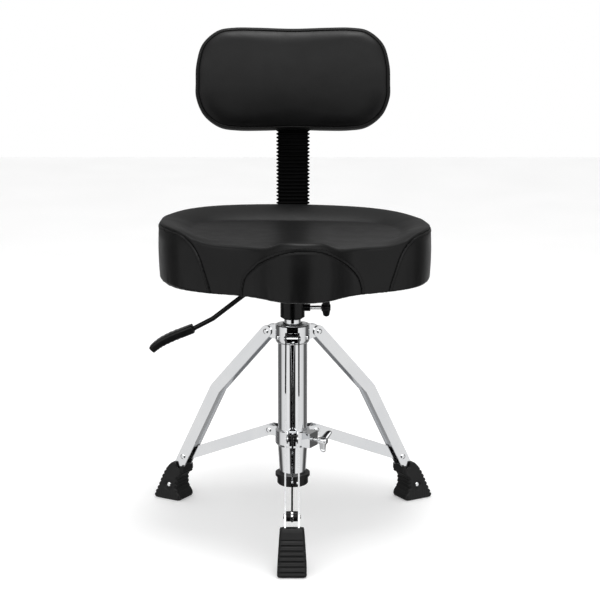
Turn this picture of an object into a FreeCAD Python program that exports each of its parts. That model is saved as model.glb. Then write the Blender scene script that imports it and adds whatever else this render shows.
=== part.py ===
import FreeCAD, Part
import math
import os

import Sketcher
from FreeCAD import Placement, Rotation, Vector

# Drum throne with a gas-lift column on a folding tripod, a saddle cushion and a backrest.
# Frame: millimetres, +Z up, -Y to the front, origin on the floor under the column's axis.

SIZES = {
    # gas-lift column and the hub at its top
    "column_radius": 25.0,
    "column_wall": 1.5,
    "column_low_radius": 22.0,
    "column_bottom": 68.0,
    "column_taper_low": 83.0,
    "column_taper_high": 130.0,
    "column_lip_height": 343.0,
    "column_top": 346.5,
    "column_floor_low": 77.0,
    "column_floor_high": 80.0,
    "rod_hole_radius": 5.6,
    "hub_radius": 29.0,
    "hub_low": 314.0,
    "hub_high": 345.0,
    "lug_half_width": 9.4,
    "lug_end_radius": 9.0,
    "cap_radius": 26.5,
    "cap_flange_radius": 29.6,
    "cap_low": 65.0,
    "cap_high": 85.0,
    "cap_floor": 67.8,
    "cap_screw_height": 73.0,
    # thrust bearing, rod and piston
    "race_thickness": 1.5,
    "race_outer_radius": 12.0,
    "race_inner_radius": 6.2,
    "ball_radius": 1.9,
    "ball_orbit": 9.0,
    "rod_radius": 5.0,
    "rod_low": 69.5,
    "rod_high": 342.0,
    "piston_length": 14.0,
    "tube_radius": 14.0,
    "tube_wall": 1.5,
    "tube_low": 104.0,
    "tube_high": 398.0,
    "bush_low": 262.0,
    "bush_clearance": 0.06,
    # tripod: reach is the distance from the column's axis, height is above the floor
    "hub_pin_reach": 45.6,
    "hub_pin_height": 329.2,
    "bend_reach": 149.6,
    "bend_height": 215.8,
    "brace_pin_reach": 219.3,
    "brace_pin_height": 81.7,
    "foot_bolt_reach": 246.0,
    "foot_bolt_height": 27.0,
    "bar_width": 20.0,
    "bar_thickness": 2.5,
    "bar_offset": 9.5,
    "pin_radius": 3.0,
    "pin_clearance": 0.05,
    "rivet_head_radius": 4.6,
    "rivet_head_height": 1.9,
    "brace_width": 19.0,
    "brace_thickness": 3.0,
    "brace_slot_length": 10.0,
    "brace_slot_radius": 5.7,
    "collar_pin_reach": 41.9,
    "collar_pin_height": 155.9,
    "collar_radius": 29.5,
    "collar_low": 135.0,
    "collar_high": 163.0,
    "ear_inner": 7.5,
    "ear_thickness": 2.3,
    "ear_width": 17.0,
    "block_reach": 41.6,
    "block_width": 28.0,
    "foot_base_width": 47.0,
    "foot_top_width": 35.0,
    "foot_low_inner": 227.5,
    "foot_low_outer": 277.5,
    "foot_toe_height": 7.0,
    # wing bolts
    "wing_thread_radius": 4.0,
    "wing_span": 15.5,
    "wing_thickness": 4.0,
    # receiver under the cushion
    "socket_radius": 20.5,
    "socket_low": 354.0,
    "seat_wing_height": 373.0,
    "boss_radius": 6.0,
    "boss_reach": 30.0,
    "plate_low": 414.0,
    "plate_thickness": 3.0,
    "plate_half_width": 85.0,
    "plate_front": 70.0,
    "plate_depth": 172.0,
    "screw_radius": 3.0,
    "screw_head_radius": 5.5,
    "screw_x": 68.0,
    "board_thickness": 12.0,
    # lever
    "lever_radius": 4.0,
    "lever_height": 405.0,
    "lever_pivot": 34.0,
    "lever_pin_radius": 2.5,
    "lever_eye_radius": 7.0,
    "lever_eye_length": 13.0,
    "grip_width": 24.0,
    # cushion
    "cushion_bottom": 417.0,
    "cushion_top": 520.0,
    "cushion_half_width": 226.0,
    "cushion_yaw": 3.3,
    "cushion_shift": 7.0,
    "cushion_edge": 14.0,
    "bowl_radius": 850.0,
    "bowl_floor": 500.0,
    "bowl_y": -20.0,
    "cover_thickness": 1.6,
    # backrest
    "back_bar_width": 40.0,
    "back_bar_thickness": 5.0,
    "back_bar_low": 408.7,
    "back_bar_front": 30.0,
    "back_bend_y": 190.0,
    "back_bend_radius": 15.0,
    "back_recline": 8.0,
    "back_bar_length": 352.0,
    "bellows_width": 59.0,
    "bellows_depth": 18.0,
    "bellows_low": 4.0,
    "bellows_length": 228.0,
    "carriage_low": 236.0,
    "carriage_height": 92.0,
    "carriage_gap": 0.15,
    "carriage_wall": 4.0,
    "pad_width": 345.0,
    "pad_height": 183.0,
    "pad_corner": 68.0,
    "pad_front_bow": 820.0,
    "pad_thickness": 42.0,
    "pad_centre": 315.0,
    "pad_board_thickness": 9.0,
}

doc = FreeCAD.newDocument("drum_throne")
sheet = doc.addObject("Spreadsheet::Sheet", "sizes")
for row, (alias, value) in enumerate(SIZES.items(), start=1):
    sheet.set("A%d" % row, alias)
    sheet.set("B%d" % row, str(value))
    sheet.setAlias("B%d" % row, alias)
doc.recompute()

PARTS = []
X_AXIS = Vector(1, 0, 0)
Y_AXIS = Vector(0, 1, 0)
Z_AXIS = Vector(0, 0, 1)
LEG_AZIMUTHS = {"front": -90.0, "right": 30.0, "left": 150.0}
CLAMP_AZIMUTH = -30.0


def size(alias):
    """The plain number in the sheet."""
    return float(sheet.get(alias))


def bound(expression):
    """An expression written with bare aliases, made to read the sheet."""
    words = []
    word = ""
    for letter in str(expression) + " ":
        if letter.isalnum() or letter in "_.":
            word += letter
        else:
            words.append("sizes." + word if word in SIZES else word)
            words.append(letter)
            word = ""
    return "".join(words).strip()


def at(x, y, z, rotation=None):
    return Placement(Vector(x, y, z), rotation or Rotation())


def keep(label, obj, placement=None):
    """Make an object a sub-part: its label names its file."""
    obj.Label = label
    if placement is not None:
        obj.Placement = placement
    PARTS.append(obj)
    return obj


# ---- PartDesign helpers ---------------------------------------------------------------------

def new_body(name):
    return doc.addObject("PartDesign::Body", name)


def polygon_sketch(body, role, corners):
    """A closed outline on an origin plane, each corner's two distances bound to the sheet."""
    sketch = body.newObject("Sketcher::SketchObject", body.Name + "_outline")
    plane = [item for item in body.Origin.OriginFeatures if item.Role == role][0]
    sketch.AttachmentSupport = [(plane, "")]
    sketch.MapMode = "FlatFace"
    count = len(corners)
    for index in range(count):
        start = Vector(index + 1, index * index, 0)
        end = Vector(index + 2, (index + 1) ** 2, 0)
        sketch.addGeometry(Part.LineSegment(start, end))
    for index in range(count):
        sketch.addConstraint(Sketcher.Constraint("Coincident", index, 2, (index + 1) % count, 1))
    for index, corner in enumerate(corners):
        for kind, expression in zip(("DistanceX", "DistanceY"), corner):
            number = sketch.addConstraint(Sketcher.Constraint(kind, -1, 1, index, 1, 1.0))
            sketch.setExpression("Constraints[%d]" % number, bound(expression))
    return sketch


def turned(name, corners):
    """A body turned about Z; corners are (radius, height)."""
    body = new_body(name)
    turn = body.newObject("PartDesign::Revolution", name + "_turn")
    turn.Profile = polygon_sketch(body, "XZ_Plane", corners)
    turn.ReferenceAxis = (turn.Profile[0], ["V_Axis"])
    turn.Angle = 360
    return body


def padded(name, role, corners, thickness):
    """A body padded both ways from an origin plane."""
    body = new_body(name)
    pad = body.newObject("PartDesign::Pad", name + "_pad")
    pad.Profile = polygon_sketch(body, role, corners)
    pad.SideType = "Symmetric"
    pad.setExpression("Length", bound(thickness))
    return body


# ---- Part primitive helpers -----------------------------------------------------------------

def cylinder(name, radius, height, placement):
    obj = doc.addObject("Part::Cylinder", name)
    obj.setExpression("Radius", bound(radius))
    obj.setExpression("Height", bound(height))
    obj.Placement = placement
    return obj


def box(name, length, width, height, placement):
    obj = doc.addObject("Part::Box", name)
    obj.setExpression("Length", bound(length))
    obj.setExpression("Width", bound(width))
    obj.setExpression("Height", bound(height))
    obj.Placement = placement
    return obj


def fused(name, shapes):
    obj = doc.addObject("Part::MultiFuse", name)
    obj.Shapes = shapes
    obj.Refine = True
    return obj


def cut(name, base, tools):
    obj = doc.addObject("Part::Cut", name)
    obj.Base = base
    obj.Tool = tools[0] if len(tools) == 1 else fused(name + "_tools", tools)
    obj.Refine = True
    return obj


def common(name, first, second):
    obj = doc.addObject("Part::Common", name)
    obj.Base = first
    obj.Tool = second
    return obj


def group(name, shapes):
    """Separate identical solids in one sub-part."""
    obj = doc.addObject("Part::Compound", name)
    obj.Links = shapes
    return obj


def along(axis, x, y, z):
    """A placement whose local Z points along an axis."""
    return Placement(Vector(x, y, z), Rotation(Z_AXIS, axis))


def about_z(degrees):
    return Placement(Vector(), Rotation(Z_AXIS, degrees))


def point(station):
    """The reach and height of a named tripod station, as numbers."""
    return size(station + "_reach"), size(station + "_height")


def span(start, end):
    """The distance between two tripod stations, as an expression."""
    return "sqrt((%s_reach - %s_reach)^2 + (%s_height - %s_height)^2)" % (start, end, start, end)


def flat_bar(name, stations, width, thickness, low_side):
    """A flat bar through tripod stations, with round ends and elbows, in a leg's own plane."""
    pieces = []
    for start, end in zip(stations, stations[1:]):
        reach, height = point(start)
        end_reach, end_height = point(end)
        slope = math.degrees(math.atan2(end_height - height, end_reach - reach))
        turn = Rotation(Y_AXIS, -slope)
        corner = Vector(reach, low_side, height) + turn.multVec(Vector(0, 0, -size(width) / 2))
        run = box("%s_%s_run" % (name, start), span(start, end), thickness, width,
                  Placement(corner, turn))
        pieces.append(run)
    for station in stations:
        reach, height = point(station)
        elbow = cylinder("%s_%s_round" % (name, station), width + " / 2", thickness,
                         along(Y_AXIS, reach, low_side, height))
        pieces.append(elbow)
    return fused(name, pieces)


def cross_hole(name, station, radius, half_length):
    """A cylinder through a leg's plane at a tripod station."""
    reach, height = point(station)
    return cylinder(name, radius, "2 * (%s)" % half_length,
                    along(Y_AXIS, reach, -half_length, height))


def rivet(name, station, half_grip):
    """A round rivet across a leg's plane, with a domed head at each end."""
    reach, height = point(station)
    pieces = [cross_hole(name + "_shank", station, "pin_radius", half_grip)]
    for side in (-1, 1):
        rim = cylinder("%s_rim_%d" % (name, side), "rivet_head_radius", "rivet_head_height / 2",
                       along(Y_AXIS * side, reach, side * half_grip, height))
        dome = doc.addObject("Part::Cone", "%s_dome_%d" % (name, side))
        dome.setExpression("Radius1", bound("rivet_head_radius"))
        dome.setExpression("Radius2", bound("rivet_head_radius * 0.6"))
        dome.setExpression("Height", bound("rivet_head_height / 2"))
        dome.Placement = along(Y_AXIS * side, reach,
                               side * (half_grip + size("rivet_head_height") / 2), height)
        pieces += [rim, dome]
    return fused(name, pieces)


BAR_OUTSIDE = size("bar_offset") + size("bar_thickness")
FLAT_GAP = 0.1          # between flat faces that slide on each other


# ---- base -----------------------------------------------------------------------------------

def make_column():
    wall = "column_wall"
    inner = "column_radius - column_wall"
    low_inner = "column_low_radius - column_wall"
    tube = turned("column", [
        ("column_low_radius", "column_bottom"),
        ("column_low_radius", "column_taper_low"),
        ("column_radius", "column_taper_high"),
        ("column_radius", "column_lip_height"),
        ("column_radius - 1", "column_top - 1"),
        ("tube_radius + 3", "column_top"),
        ("tube_radius + 3", "column_top - " + wall),
        (inner, "column_lip_height - 1"),
        (inner, "column_taper_high"),
        (low_inner, "column_taper_low"),
        (low_inner, "column_floor_high"),
        ("rod_hole_radius", "column_floor_high"),
        ("rod_hole_radius", "column_floor_low"),
        (low_inner, "column_floor_low"),
        (low_inner, "column_bottom"),
    ])
    keep("column_tube", tube)
    bush = turned("bush", [
        ("tube_radius + bush_clearance", "bush_low"),
        (inner, "bush_low"),
        (inner, "column_lip_height - 2"),
        ("tube_radius + 3", "column_top - column_wall - 0.4"),
        ("tube_radius + bush_clearance", "column_top - column_wall - 0.4"),
    ])
    keep("guide_bush", bush)


def make_hub():
    ring = turned("hub_ring", [
        ("column_radius", "hub_low"),
        ("hub_radius - 2.5", "hub_low"),
        ("hub_radius - 0.8", "hub_low + 2"),
        ("hub_radius", "hub_low + 5"),
        ("hub_radius", "hub_high - 1.5"),
        ("hub_radius - 1.5", "hub_high"),
        ("column_radius", "hub_high"),
    ])
    reach, height = point("hub_pin")
    lugs = []
    for side, azimuth in LEG_AZIMUTHS.items():
        web = padded("hub_web_" + side, "XZ_Plane", [
            ("column_radius + 0.5", "hub_low + 3"),
            ("hub_pin_reach", "hub_pin_height - lug_end_radius"),
            ("hub_pin_reach", "hub_pin_height + lug_end_radius"),
            ("column_radius + 0.5", "hub_high - 0.5"),
        ], "2 * lug_half_width")
        nose = cylinder("hub_nose_" + side, "lug_end_radius", "2 * lug_half_width",
                        along(Y_AXIS, reach, -size("lug_half_width"), height))
        hole = cross_hole("hub_hole_" + side, "hub_pin", "pin_radius", BAR_OUTSIDE + 2)
        lug = cut("hub_lug_" + side, fused("hub_lug_blank_" + side, [web, nose]), [hole])
        lug.Placement = about_z(azimuth)
        lugs.append(lug)
    bore = cylinder("hub_bore", "column_radius", "hub_high", at(0, 0, 0))
    keep("leg_hub", cut("hub", fused("hub_blank", [ring] + lugs), [bore]))

    rivets = []
    for side, azimuth in LEG_AZIMUTHS.items():
        pin = rivet("hub_rivet_" + side, "hub_pin", BAR_OUTSIDE + FLAT_GAP)
        pin.Placement = about_z(azimuth)
        rivets.append(pin)
    keep("hub_rivets", group("rivets_of_hub", rivets))

    screws = []
    for side, azimuth in LEG_AZIMUTHS.items():
        screw = turned("hub_screw_" + side, [
            ("0", "hub_radius - 0.3"), ("4.4", "hub_radius - 0.3"), ("4.4", "hub_radius + 1"),
            ("3", "hub_radius + 2.2"), ("0", "hub_radius + 2.6"),
        ])
        outward = Rotation(Z_AXIS, azimuth + 60).multVec(X_AXIS)
        screw.Placement = along(outward, 0, 0, size("hub_low") + 11)
        screws.append(screw)
    keep("hub_screws", group("screws_of_hub", screws))


def make_cap():
    clear = "column_low_radius + 0.05"
    cap = turned("cap", [
        ("0", "cap_low"),
        ("cap_radius - 2", "cap_low"),
        ("cap_radius", "cap_low + 2"),
        ("cap_radius", "cap_high - 6"),
        ("cap_flange_radius", "cap_high - 5"),
        ("cap_flange_radius", "cap_high"),
        ("column_low_radius + 0.4", "cap_high"),
        (clear, "cap_high - 2"),
        (clear, "cap_floor"),
        ("0", "cap_floor"),
    ])
    azimuth = Rotation(Z_AXIS, -70)
    outward = azimuth.multVec(X_AXIS)
    height = size("cap_screw_height")
    wall = outward * size("column_low_radius")
    hole = cylinder("cap_screw_hole", "1.5", "8", along(outward, wall.x, wall.y, height))
    keep("column_cap", cut("cap_drilled", cap, [hole]))
    screw = turned("cap_screw_turn", [
        ("0", "column_low_radius + 0.4"), ("1.5", "column_low_radius + 0.4"),
        ("1.5", "cap_radius"), ("2.7", "cap_radius"), ("2.7", "cap_radius + 1"),
        ("1.8", "cap_radius + 1.7"), ("0", "cap_radius + 1.7"),
    ])
    keep("cap_screw", screw, along(outward, 0, 0, height))


def washer(name, low):
    return turned(name, [
        ("race_inner_radius", low), ("race_outer_radius", low),
        ("race_outer_radius", low + " + race_thickness"),
        ("race_inner_radius", low + " + race_thickness"),
    ])


def make_bearing():
    keep("lower_race", washer("race_low", "column_floor_high"))
    gap = 0.08
    ball_height = size("column_floor_high") + size("race_thickness") + size("ball_radius") + gap
    balls = []
    for index in range(8):
        spot = Rotation(Z_AXIS, 45.0 * index).multVec(Vector(size("ball_orbit"), 0, ball_height))
        ball = doc.addObject("Part::Sphere", "ball_%d" % index)
        ball.setExpression("Radius", bound("ball_radius"))
        ball.Placement = Placement(spot, Rotation())
        balls.append(ball)
    keep("bearing_balls", group("balls", balls))
    cage = turned("cage_ring", [
        ("race_inner_radius + 0.3", "column_floor_high + race_thickness + 1.2"),
        ("race_outer_radius - 0.3", "column_floor_high + race_thickness + 1.2"),
        ("race_outer_radius - 0.3", "column_floor_high + race_thickness + 2.8"),
        ("race_inner_radius + 0.3", "column_floor_high + race_thickness + 2.8"),
    ])
    pockets = []
    for index in range(8):
        spot = Rotation(Z_AXIS, 45.0 * index).multVec(Vector(size("ball_orbit"), 0, 80))
        pockets.append(cylinder("pocket_%d" % index, "ball_radius + 0.05", "8",
                                Placement(spot, Rotation())))
    keep("bearing_cage", cut("cage", cage, pockets))
    top = "column_floor_high + race_thickness + 2 * ball_radius + %g" % (2 * gap)
    keep("upper_race", washer("race_top", top))


def make_rod():
    shoulder = ("column_floor_high + 2 * race_thickness + 2 * ball_radius + 0.16")
    rod = turned("rod", [
        ("0", "rod_low"), ("rod_radius", "rod_low"),
        ("rod_radius", "rod_low + 2"), ("rod_radius - 0.8", "rod_low + 2"),
        ("rod_radius - 0.8", "rod_low + 3.2"), ("rod_radius", "rod_low + 3.2"),
        ("rod_radius", shoulder), ("rod_radius + 4", shoulder),
        ("rod_radius + 4", shoulder + " + 4"), ("rod_radius", shoulder + " + 4"),
        ("rod_radius", "rod_high"), ("0", "rod_high"),
    ])
    keep("piston_rod", rod)
    clip = turned("clip", [
        ("rod_radius - 0.75", "rod_low + 2.05"), ("rod_radius + 4.5", "rod_low + 2.05"),
        ("rod_radius + 4.5", "rod_low + 3.15"), ("rod_radius - 0.75", "rod_low + 3.15"),
    ])
    keep("rod_clip", clip)
    piston = turned("piston_head", [
        ("0", "rod_high + 0.02"), ("tube_radius - tube_wall - 0.08", "rod_high + 0.02"),
        ("tube_radius - tube_wall - 0.08", "rod_high + piston_length"),
        ("0", "rod_high + piston_length"),
    ])
    keep("piston", piston)


# ---- tripod ---------------------------------------------------------------------------------

def make_collar():
    ring = turned("collar_ring", [
        ("column_radius + 0.08", "collar_low"),
        ("collar_radius - 2.5", "collar_low"),
        ("collar_radius", "collar_low + 4"),
        ("collar_radius", "collar_high - 1.5"),
        ("collar_radius - 1.5", "collar_high"),
        ("column_radius + 0.08", "collar_high"),
    ])
    reach, height = point("collar_pin")
    solids = [ring]
    holes = []
    for side, azimuth in LEG_AZIMUTHS.items():
        for hand, low_side in ((1, size("ear_inner")),
                               (-1, -size("ear_inner") - size("ear_thickness"))):
            plate = box("ear_%s_%d" % (side, hand), "collar_pin_reach - column_radius - 1",
                        "ear_thickness", "ear_width",
                        at(size("column_radius") + 1, low_side, height - size("ear_width") / 2))
            tip = cylinder("ear_tip_%s_%d" % (side, hand), "ear_width / 2", "ear_thickness",
                           along(Y_AXIS, reach, low_side, height))
            ear = fused("ear_whole_%s_%d" % (side, hand), [plate, tip])
            ear.Placement = about_z(azimuth)
            solids.append(ear)
        hole = cross_hole("collar_hole_" + side, "collar_pin", "pin_radius", 14)
        holes.append(group("collar_hole_turned_" + side, [hole]))
        holes[-1].Placement = about_z(azimuth)
    block = box("clamp_block", "block_reach - column_radius - 1", "block_width",
                "collar_high - collar_low - 3",
                at(size("column_radius") + 1, -size("block_width") / 2, size("collar_low") + 1.5))
    block_turned = group("clamp_block_turned", [block])
    block_turned.Placement = about_z(CLAMP_AZIMUTH)
    outward = Rotation(Z_AXIS, CLAMP_AZIMUTH).multVec(X_AXIS)
    bolt_hole = cylinder("clamp_hole", "wing_thread_radius + pin_clearance", "block_reach + 2",
                         along(outward, 0, 0, (size("collar_low") + size("collar_high")) / 2))
    bore = cylinder("collar_bore", "column_radius + 0.08", "60", at(0, 0, 120))
    blank = fused("collar_blank", solids + [block_turned])
    keep("collar", cut("collar_cut", blank, [bore, bolt_hole] + holes))

    rivets = []
    spacers = []
    half_grip = size("ear_inner") + size("ear_thickness")
    inner = size("brace_thickness") / 2 + FLAT_GAP
    for side, azimuth in LEG_AZIMUTHS.items():
        pin = rivet("collar_rivet_" + side, "collar_pin", half_grip)
        pin.Placement = about_z(azimuth)
        rivets.append(pin)
        for hand in (-1, 1):
            disc = cylinder("spacer_%s_%d" % (side, hand), "5.5",
                            "ear_inner - brace_thickness / 2 - %g" % FLAT_GAP,
                            along(Y_AXIS * hand, reach, hand * inner, height))
            hole = cross_hole("spacer_hole_%s_%d" % (side, hand), "collar_pin", "pin_radius", 12)
            ring_cut = cut("spacer_cut_%s_%d" % (side, hand), disc, [hole])
            ring_cut.Placement = about_z(azimuth)
            spacers.append(ring_cut)
    keep("collar_rivets", group("rivets_of_collar", rivets))
    keep("collar_spacers", group("spacers_of_collar", spacers))


def foot_corners():
    """The boot's side view in a leg's plane: sole, toe, sloping front, top across the leg, heel."""
    return [
        ("foot_low_inner", "0"),
        ("foot_low_outer - 4", "0"),
        ("foot_low_outer", "2"),
        ("foot_low_outer - 1", "foot_toe_height"),
        ("foot_bolt_reach + 4", "56"),
        ("foot_bolt_reach - 9", "69"),
        ("foot_bolt_reach - 29.5", "59"),
        ("foot_low_inner + 1.5", "38"),
        ("foot_low_inner + 1.5", "8"),
    ]


def make_foot(side):
    name = "foot_" + side
    profile = padded(name + "_side", "XZ_Plane", foot_corners(), "foot_base_width")
    taper = padded(name + "_face", "YZ_Plane", [
        ("-foot_base_width / 2", "0"), ("foot_base_width / 2", "0"),
        ("foot_base_width / 2", "5"), ("foot_top_width / 2 + 2", "50"),
        ("foot_top_width / 2", "70"), ("-foot_top_width / 2", "70"),
        ("-foot_top_width / 2 - 2", "50"), ("-foot_base_width / 2", "5"),
    ], "700")
    solid = common(name + "_block", profile, taper)
    slots = []
    for hand, low_side in ((1, size("bar_offset")), (-1, -BAR_OUTSIDE)):
        slots.append(flat_bar("%s_slot_%d" % (name, hand), ["brace_pin", "foot_bolt"],
                              "bar_width", "bar_thickness", low_side))
    slots.append(cross_hole(name + "_bore", "foot_bolt", "pin_radius", 30))
    for hand in (-1, 1):
        reach, height = point("foot_bolt")
        slots.append(cylinder("%s_recess_%d" % (name, hand), "rivet_head_radius + 0.6", "10",
                              along(Y_AXIS * hand, reach, hand * 18.0, height)))
    return cut(name, solid, slots)


def make_leg(side, azimuth):
    turn = about_z(azimuth)
    bars = []
    stations = ["hub_pin", "bend", "brace_pin", "foot_bolt"]
    for hand, low_side in ((1, size("bar_offset")), (-1, -BAR_OUTSIDE)):
        name = "bar_%s_%d" % (side, hand)
        blank = flat_bar(name + "_blank", stations, "bar_width", "bar_thickness", low_side)
        holes = [
            cross_hole(name + "_hub_hole", "hub_pin", "pin_radius + pin_clearance", 20),
            cross_hole(name + "_brace_hole", "brace_pin", "pin_radius", 20),
            cross_hole(name + "_foot_hole", "foot_bolt", "pin_radius", 20),
        ]
        bars.append(cut(name, blank, holes))
    keep(side + "_leg_bars", group("bars_" + side, bars), turn)

    keep(side + "_brace_pin", rivet("brace_pin_" + side, "brace_pin", BAR_OUTSIDE), turn)

    reach, height = point("brace_pin")
    inner = size("brace_thickness") / 2 + 1.5 * FLAT_GAP
    bushes = []
    for hand in (-1, 1):
        disc = cylinder("bush_%s_%d" % (side, hand), "8.2",
                        "bar_offset - brace_thickness / 2 - %g" % (2 * FLAT_GAP),
                        along(Y_AXIS * hand, reach, hand * inner, height))
        hole = cross_hole("bush_hole_%s_%d" % (side, hand), "brace_pin", "pin_radius", 12)
        bushes.append(cut("bush_cut_%s_%d" % (side, hand), disc, [hole]))
    keep(side + "_brace_bushes", group("bushes_" + side, bushes), turn)

    keep(side + "_foot", make_foot(side), turn)
    keep(side + "_foot_bolt", rivet("foot_bolt_" + side, "foot_bolt", 18.0), turn)


def make_brace(side, azimuth):
    """One flat bar from the collar to the leg. The far hole is a slot, the open pivot."""
    low_side = -size("brace_thickness") / 2
    name = "brace_" + side
    blank = flat_bar(name + "_blank", ["collar_pin", "brace_pin"], "brace_width",
                     "brace_thickness", low_side)
    eye = cross_hole(name + "_eye", "collar_pin", "pin_radius + pin_clearance", 5)
    start = Vector(size("collar_pin_reach"), 0, size("collar_pin_height"))
    end = Vector(size("brace_pin_reach"), 0, size("brace_pin_height"))
    inward = (start - end).normalize()
    tools = [eye]
    slot_end = end + inward * size("brace_slot_length")
    for number, centre in enumerate((end, slot_end)):
        tools.append(cylinder("%s_slot_%d" % (name, number), "brace_slot_radius", "10",
                              along(Y_AXIS, centre.x, -5, centre.z)))
    slope = math.degrees(math.atan2(inward.z, inward.x))
    turn = Rotation(Y_AXIS, -slope)
    corner = end + turn.multVec(Vector(0, -5, -size("brace_slot_radius")))
    tools.append(box(name + "_slot_run", "brace_slot_length", "10", "2 * brace_slot_radius",
                     Placement(corner, turn)))
    keep(side + "_brace", cut(name, blank, tools), about_z(azimuth))


def wing_bolt(label, thread_length, placement):
    """Thread from the tip at the origin along Z, a round hub, and two wings in the XZ plane."""
    name = label + "_body"
    hub_start = "%g" % thread_length
    stem = turned(name, [
        ("0", "0"), ("wing_thread_radius - 0.8", "0"), ("wing_thread_radius", "1"),
        ("wing_thread_radius", hub_start), ("7", hub_start), ("7", hub_start + " + 4"),
        ("5.5", hub_start + " + 14"), ("4", hub_start + " + 16"), ("0", hub_start + " + 16"),
    ])
    wings = padded(label + "_wings", "XZ_Plane", [
        ("-6", hub_start + " + 1"), ("6", hub_start + " + 1"),
        ("wing_span - 1.5", hub_start + " + 7"), ("wing_span", hub_start + " + 9"),
        ("wing_span", hub_start + " + 17"), ("wing_span - 1.5", hub_start + " + 18.5"),
        ("wing_span - 5", hub_start + " + 18.5"), ("5", hub_start + " + 13"),
        ("-5", hub_start + " + 13"), ("-wing_span + 5", hub_start + " + 18.5"),
        ("-wing_span + 1.5", hub_start + " + 18.5"), ("-wing_span", hub_start + " + 17"),
        ("-wing_span", hub_start + " + 9"), ("-wing_span + 1.5", hub_start + " + 7"),
    ], "wing_thickness")
    keep(label, fused(label + "_fused", [stem, wings]), placement)


# ---- seat -----------------------------------------------------------------------------------

def make_gas_tube():
    inner = "tube_radius - tube_wall"
    tube = turned("tube", [
        (inner, "tube_low"), ("tube_radius", "tube_low"),
        ("tube_radius", "tube_high"), (inner, "tube_high"),
    ])
    keep("gas_cylinder", tube)
    guide = turned("guide_of_rod", [
        ("rod_radius + 0.05", "tube_low + 0.5"), (inner, "tube_low + 0.5"),
        (inner, "tube_low + 16"), ("rod_radius + 0.05", "tube_low + 16"),
    ])
    keep("rod_guide", guide)
    valve = turned("valve", [
        ("3.05", "tube_high - 30"), (inner, "tube_high - 30"),
        (inner, "tube_high"), ("3.05", "tube_high"),
    ])
    keep("valve_body", valve)
    pin = turned("pin_of_valve", [
        ("0", "tube_high - 20"), ("3", "tube_high - 20"),
        ("3", "lever_height - lever_radius - 0.8"), ("2.4", "lever_height - lever_radius - 0.3"),
        ("0", "lever_height - lever_radius - 0.3"),
    ])
    keep("release_pin", pin)


def screw_spots():
    """The four screws that hold the plate to the board."""
    front = -size("plate_front") + 18
    rear = size("plate_depth") - size("plate_front") - 18
    return [(side * size("screw_x"), y) for side in (-1, 1) for y in (front, rear)]


def make_receiver():
    sleeve = turned("sleeve", [
        ("tube_radius + 0.02", "socket_low"), ("tube_radius + 1", "socket_low"),
        ("socket_radius", "socket_low + 3.5"), ("socket_radius", "plate_low"),
        ("tube_radius + 0.02", "plate_low"),
    ])
    boss = cylinder("boss", "boss_radius", "boss_reach - tube_radius - 2",
                    along(X_AXIS, size("tube_radius") + 2, 0, size("seat_wing_height")))
    bolt_hole = cylinder("boss_hole", "wing_thread_radius + pin_clearance", "40",
                         along(X_AXIS, 0, 0, size("seat_wing_height")))
    lever_slot = box("lever_slot", "30", "lever_eye_length + 0.6", "20",
                     at(-30, -size("lever_eye_length") / 2 - 0.3, size("tube_high") - 0.4))
    keep("cone_socket", cut("socket", fused("socket_blank", [sleeve, boss]),
                            [bolt_hole, lever_slot]))

    half = size("plate_half_width")
    sheet_metal = box("plate_sheet", "2 * plate_half_width", "plate_depth", "plate_thickness",
                      at(-half, -size("plate_front"), size("plate_low")))
    pieces = [sheet_metal]
    ear_inner = size("lever_eye_length") / 2 + FLAT_GAP
    for hand in (-1, 1):
        low_side = ear_inner if hand > 0 else -ear_inner - 3
        pieces.append(box("lever_ear_%d" % hand, "18", "3", "18",
                          at(-size("lever_pivot") - 9, low_side, size("plate_low") - 17)))
    pivot = along(Y_AXIS, -size("lever_pivot"), -12, size("lever_height"))
    tools = [cylinder("lever_pin_hole", "lever_pin_radius", "24", pivot)]
    screws = []
    for number, (x, y) in enumerate(screw_spots()):
        name = "plate_screw_%d" % number
        tools.append(cylinder(name + "_hole", "screw_radius", "10", at(x, y, 410)))
        screw = turned(name, [
            ("0", "plate_low - 3.2"), ("screw_head_radius - 2", "plate_low - 3.2"),
            ("screw_head_radius", "plate_low - 1.2"), ("screw_head_radius", "plate_low"),
            ("screw_radius", "plate_low"), ("screw_radius", "cushion_bottom + 11"),
            ("0", "cushion_bottom + 11"),
        ])
        screw.Placement = at(x, y, 0)
        screws.append(screw)
    keep("mounting_plate", cut("plate", fused("plate_blank", pieces), tools))
    keep("plate_screws", group("screws_of_plate", screws))

    pin = turned("pin_of_lever", [
        ("0", "-11.6"), ("4", "-11.6"), ("4", "-9.8"), ("lever_pin_radius", "-9.8"),
        ("lever_pin_radius", "9.8"), ("4", "9.8"), ("4", "11.6"), ("0", "11.6"),
    ])
    keep("lever_pin", pin, along(Y_AXIS, -size("lever_pivot"), 0, size("lever_height")))


def make_bar_guide():
    half = size("back_bar_width") / 2 + 0.15
    low = size("back_bar_low") - 3.3
    floor = box("guide_floor", "%g" % (2 * half + 6), "54", "3", at(-half - 3, 42, low))
    pieces = [floor]
    for x in (-half - 3, half):
        pieces.append(box("guide_wall_%d" % x, "3", "54", "%g" % (size("plate_low") - low),
                          at(x, 42, low)))
    hole = cylinder("guide_hole", "wing_thread_radius + pin_clearance", "10", at(0, 72, low - 3))
    keep("bar_guide", cut("guide", fused("guide_blank", pieces), [hole]))


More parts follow.
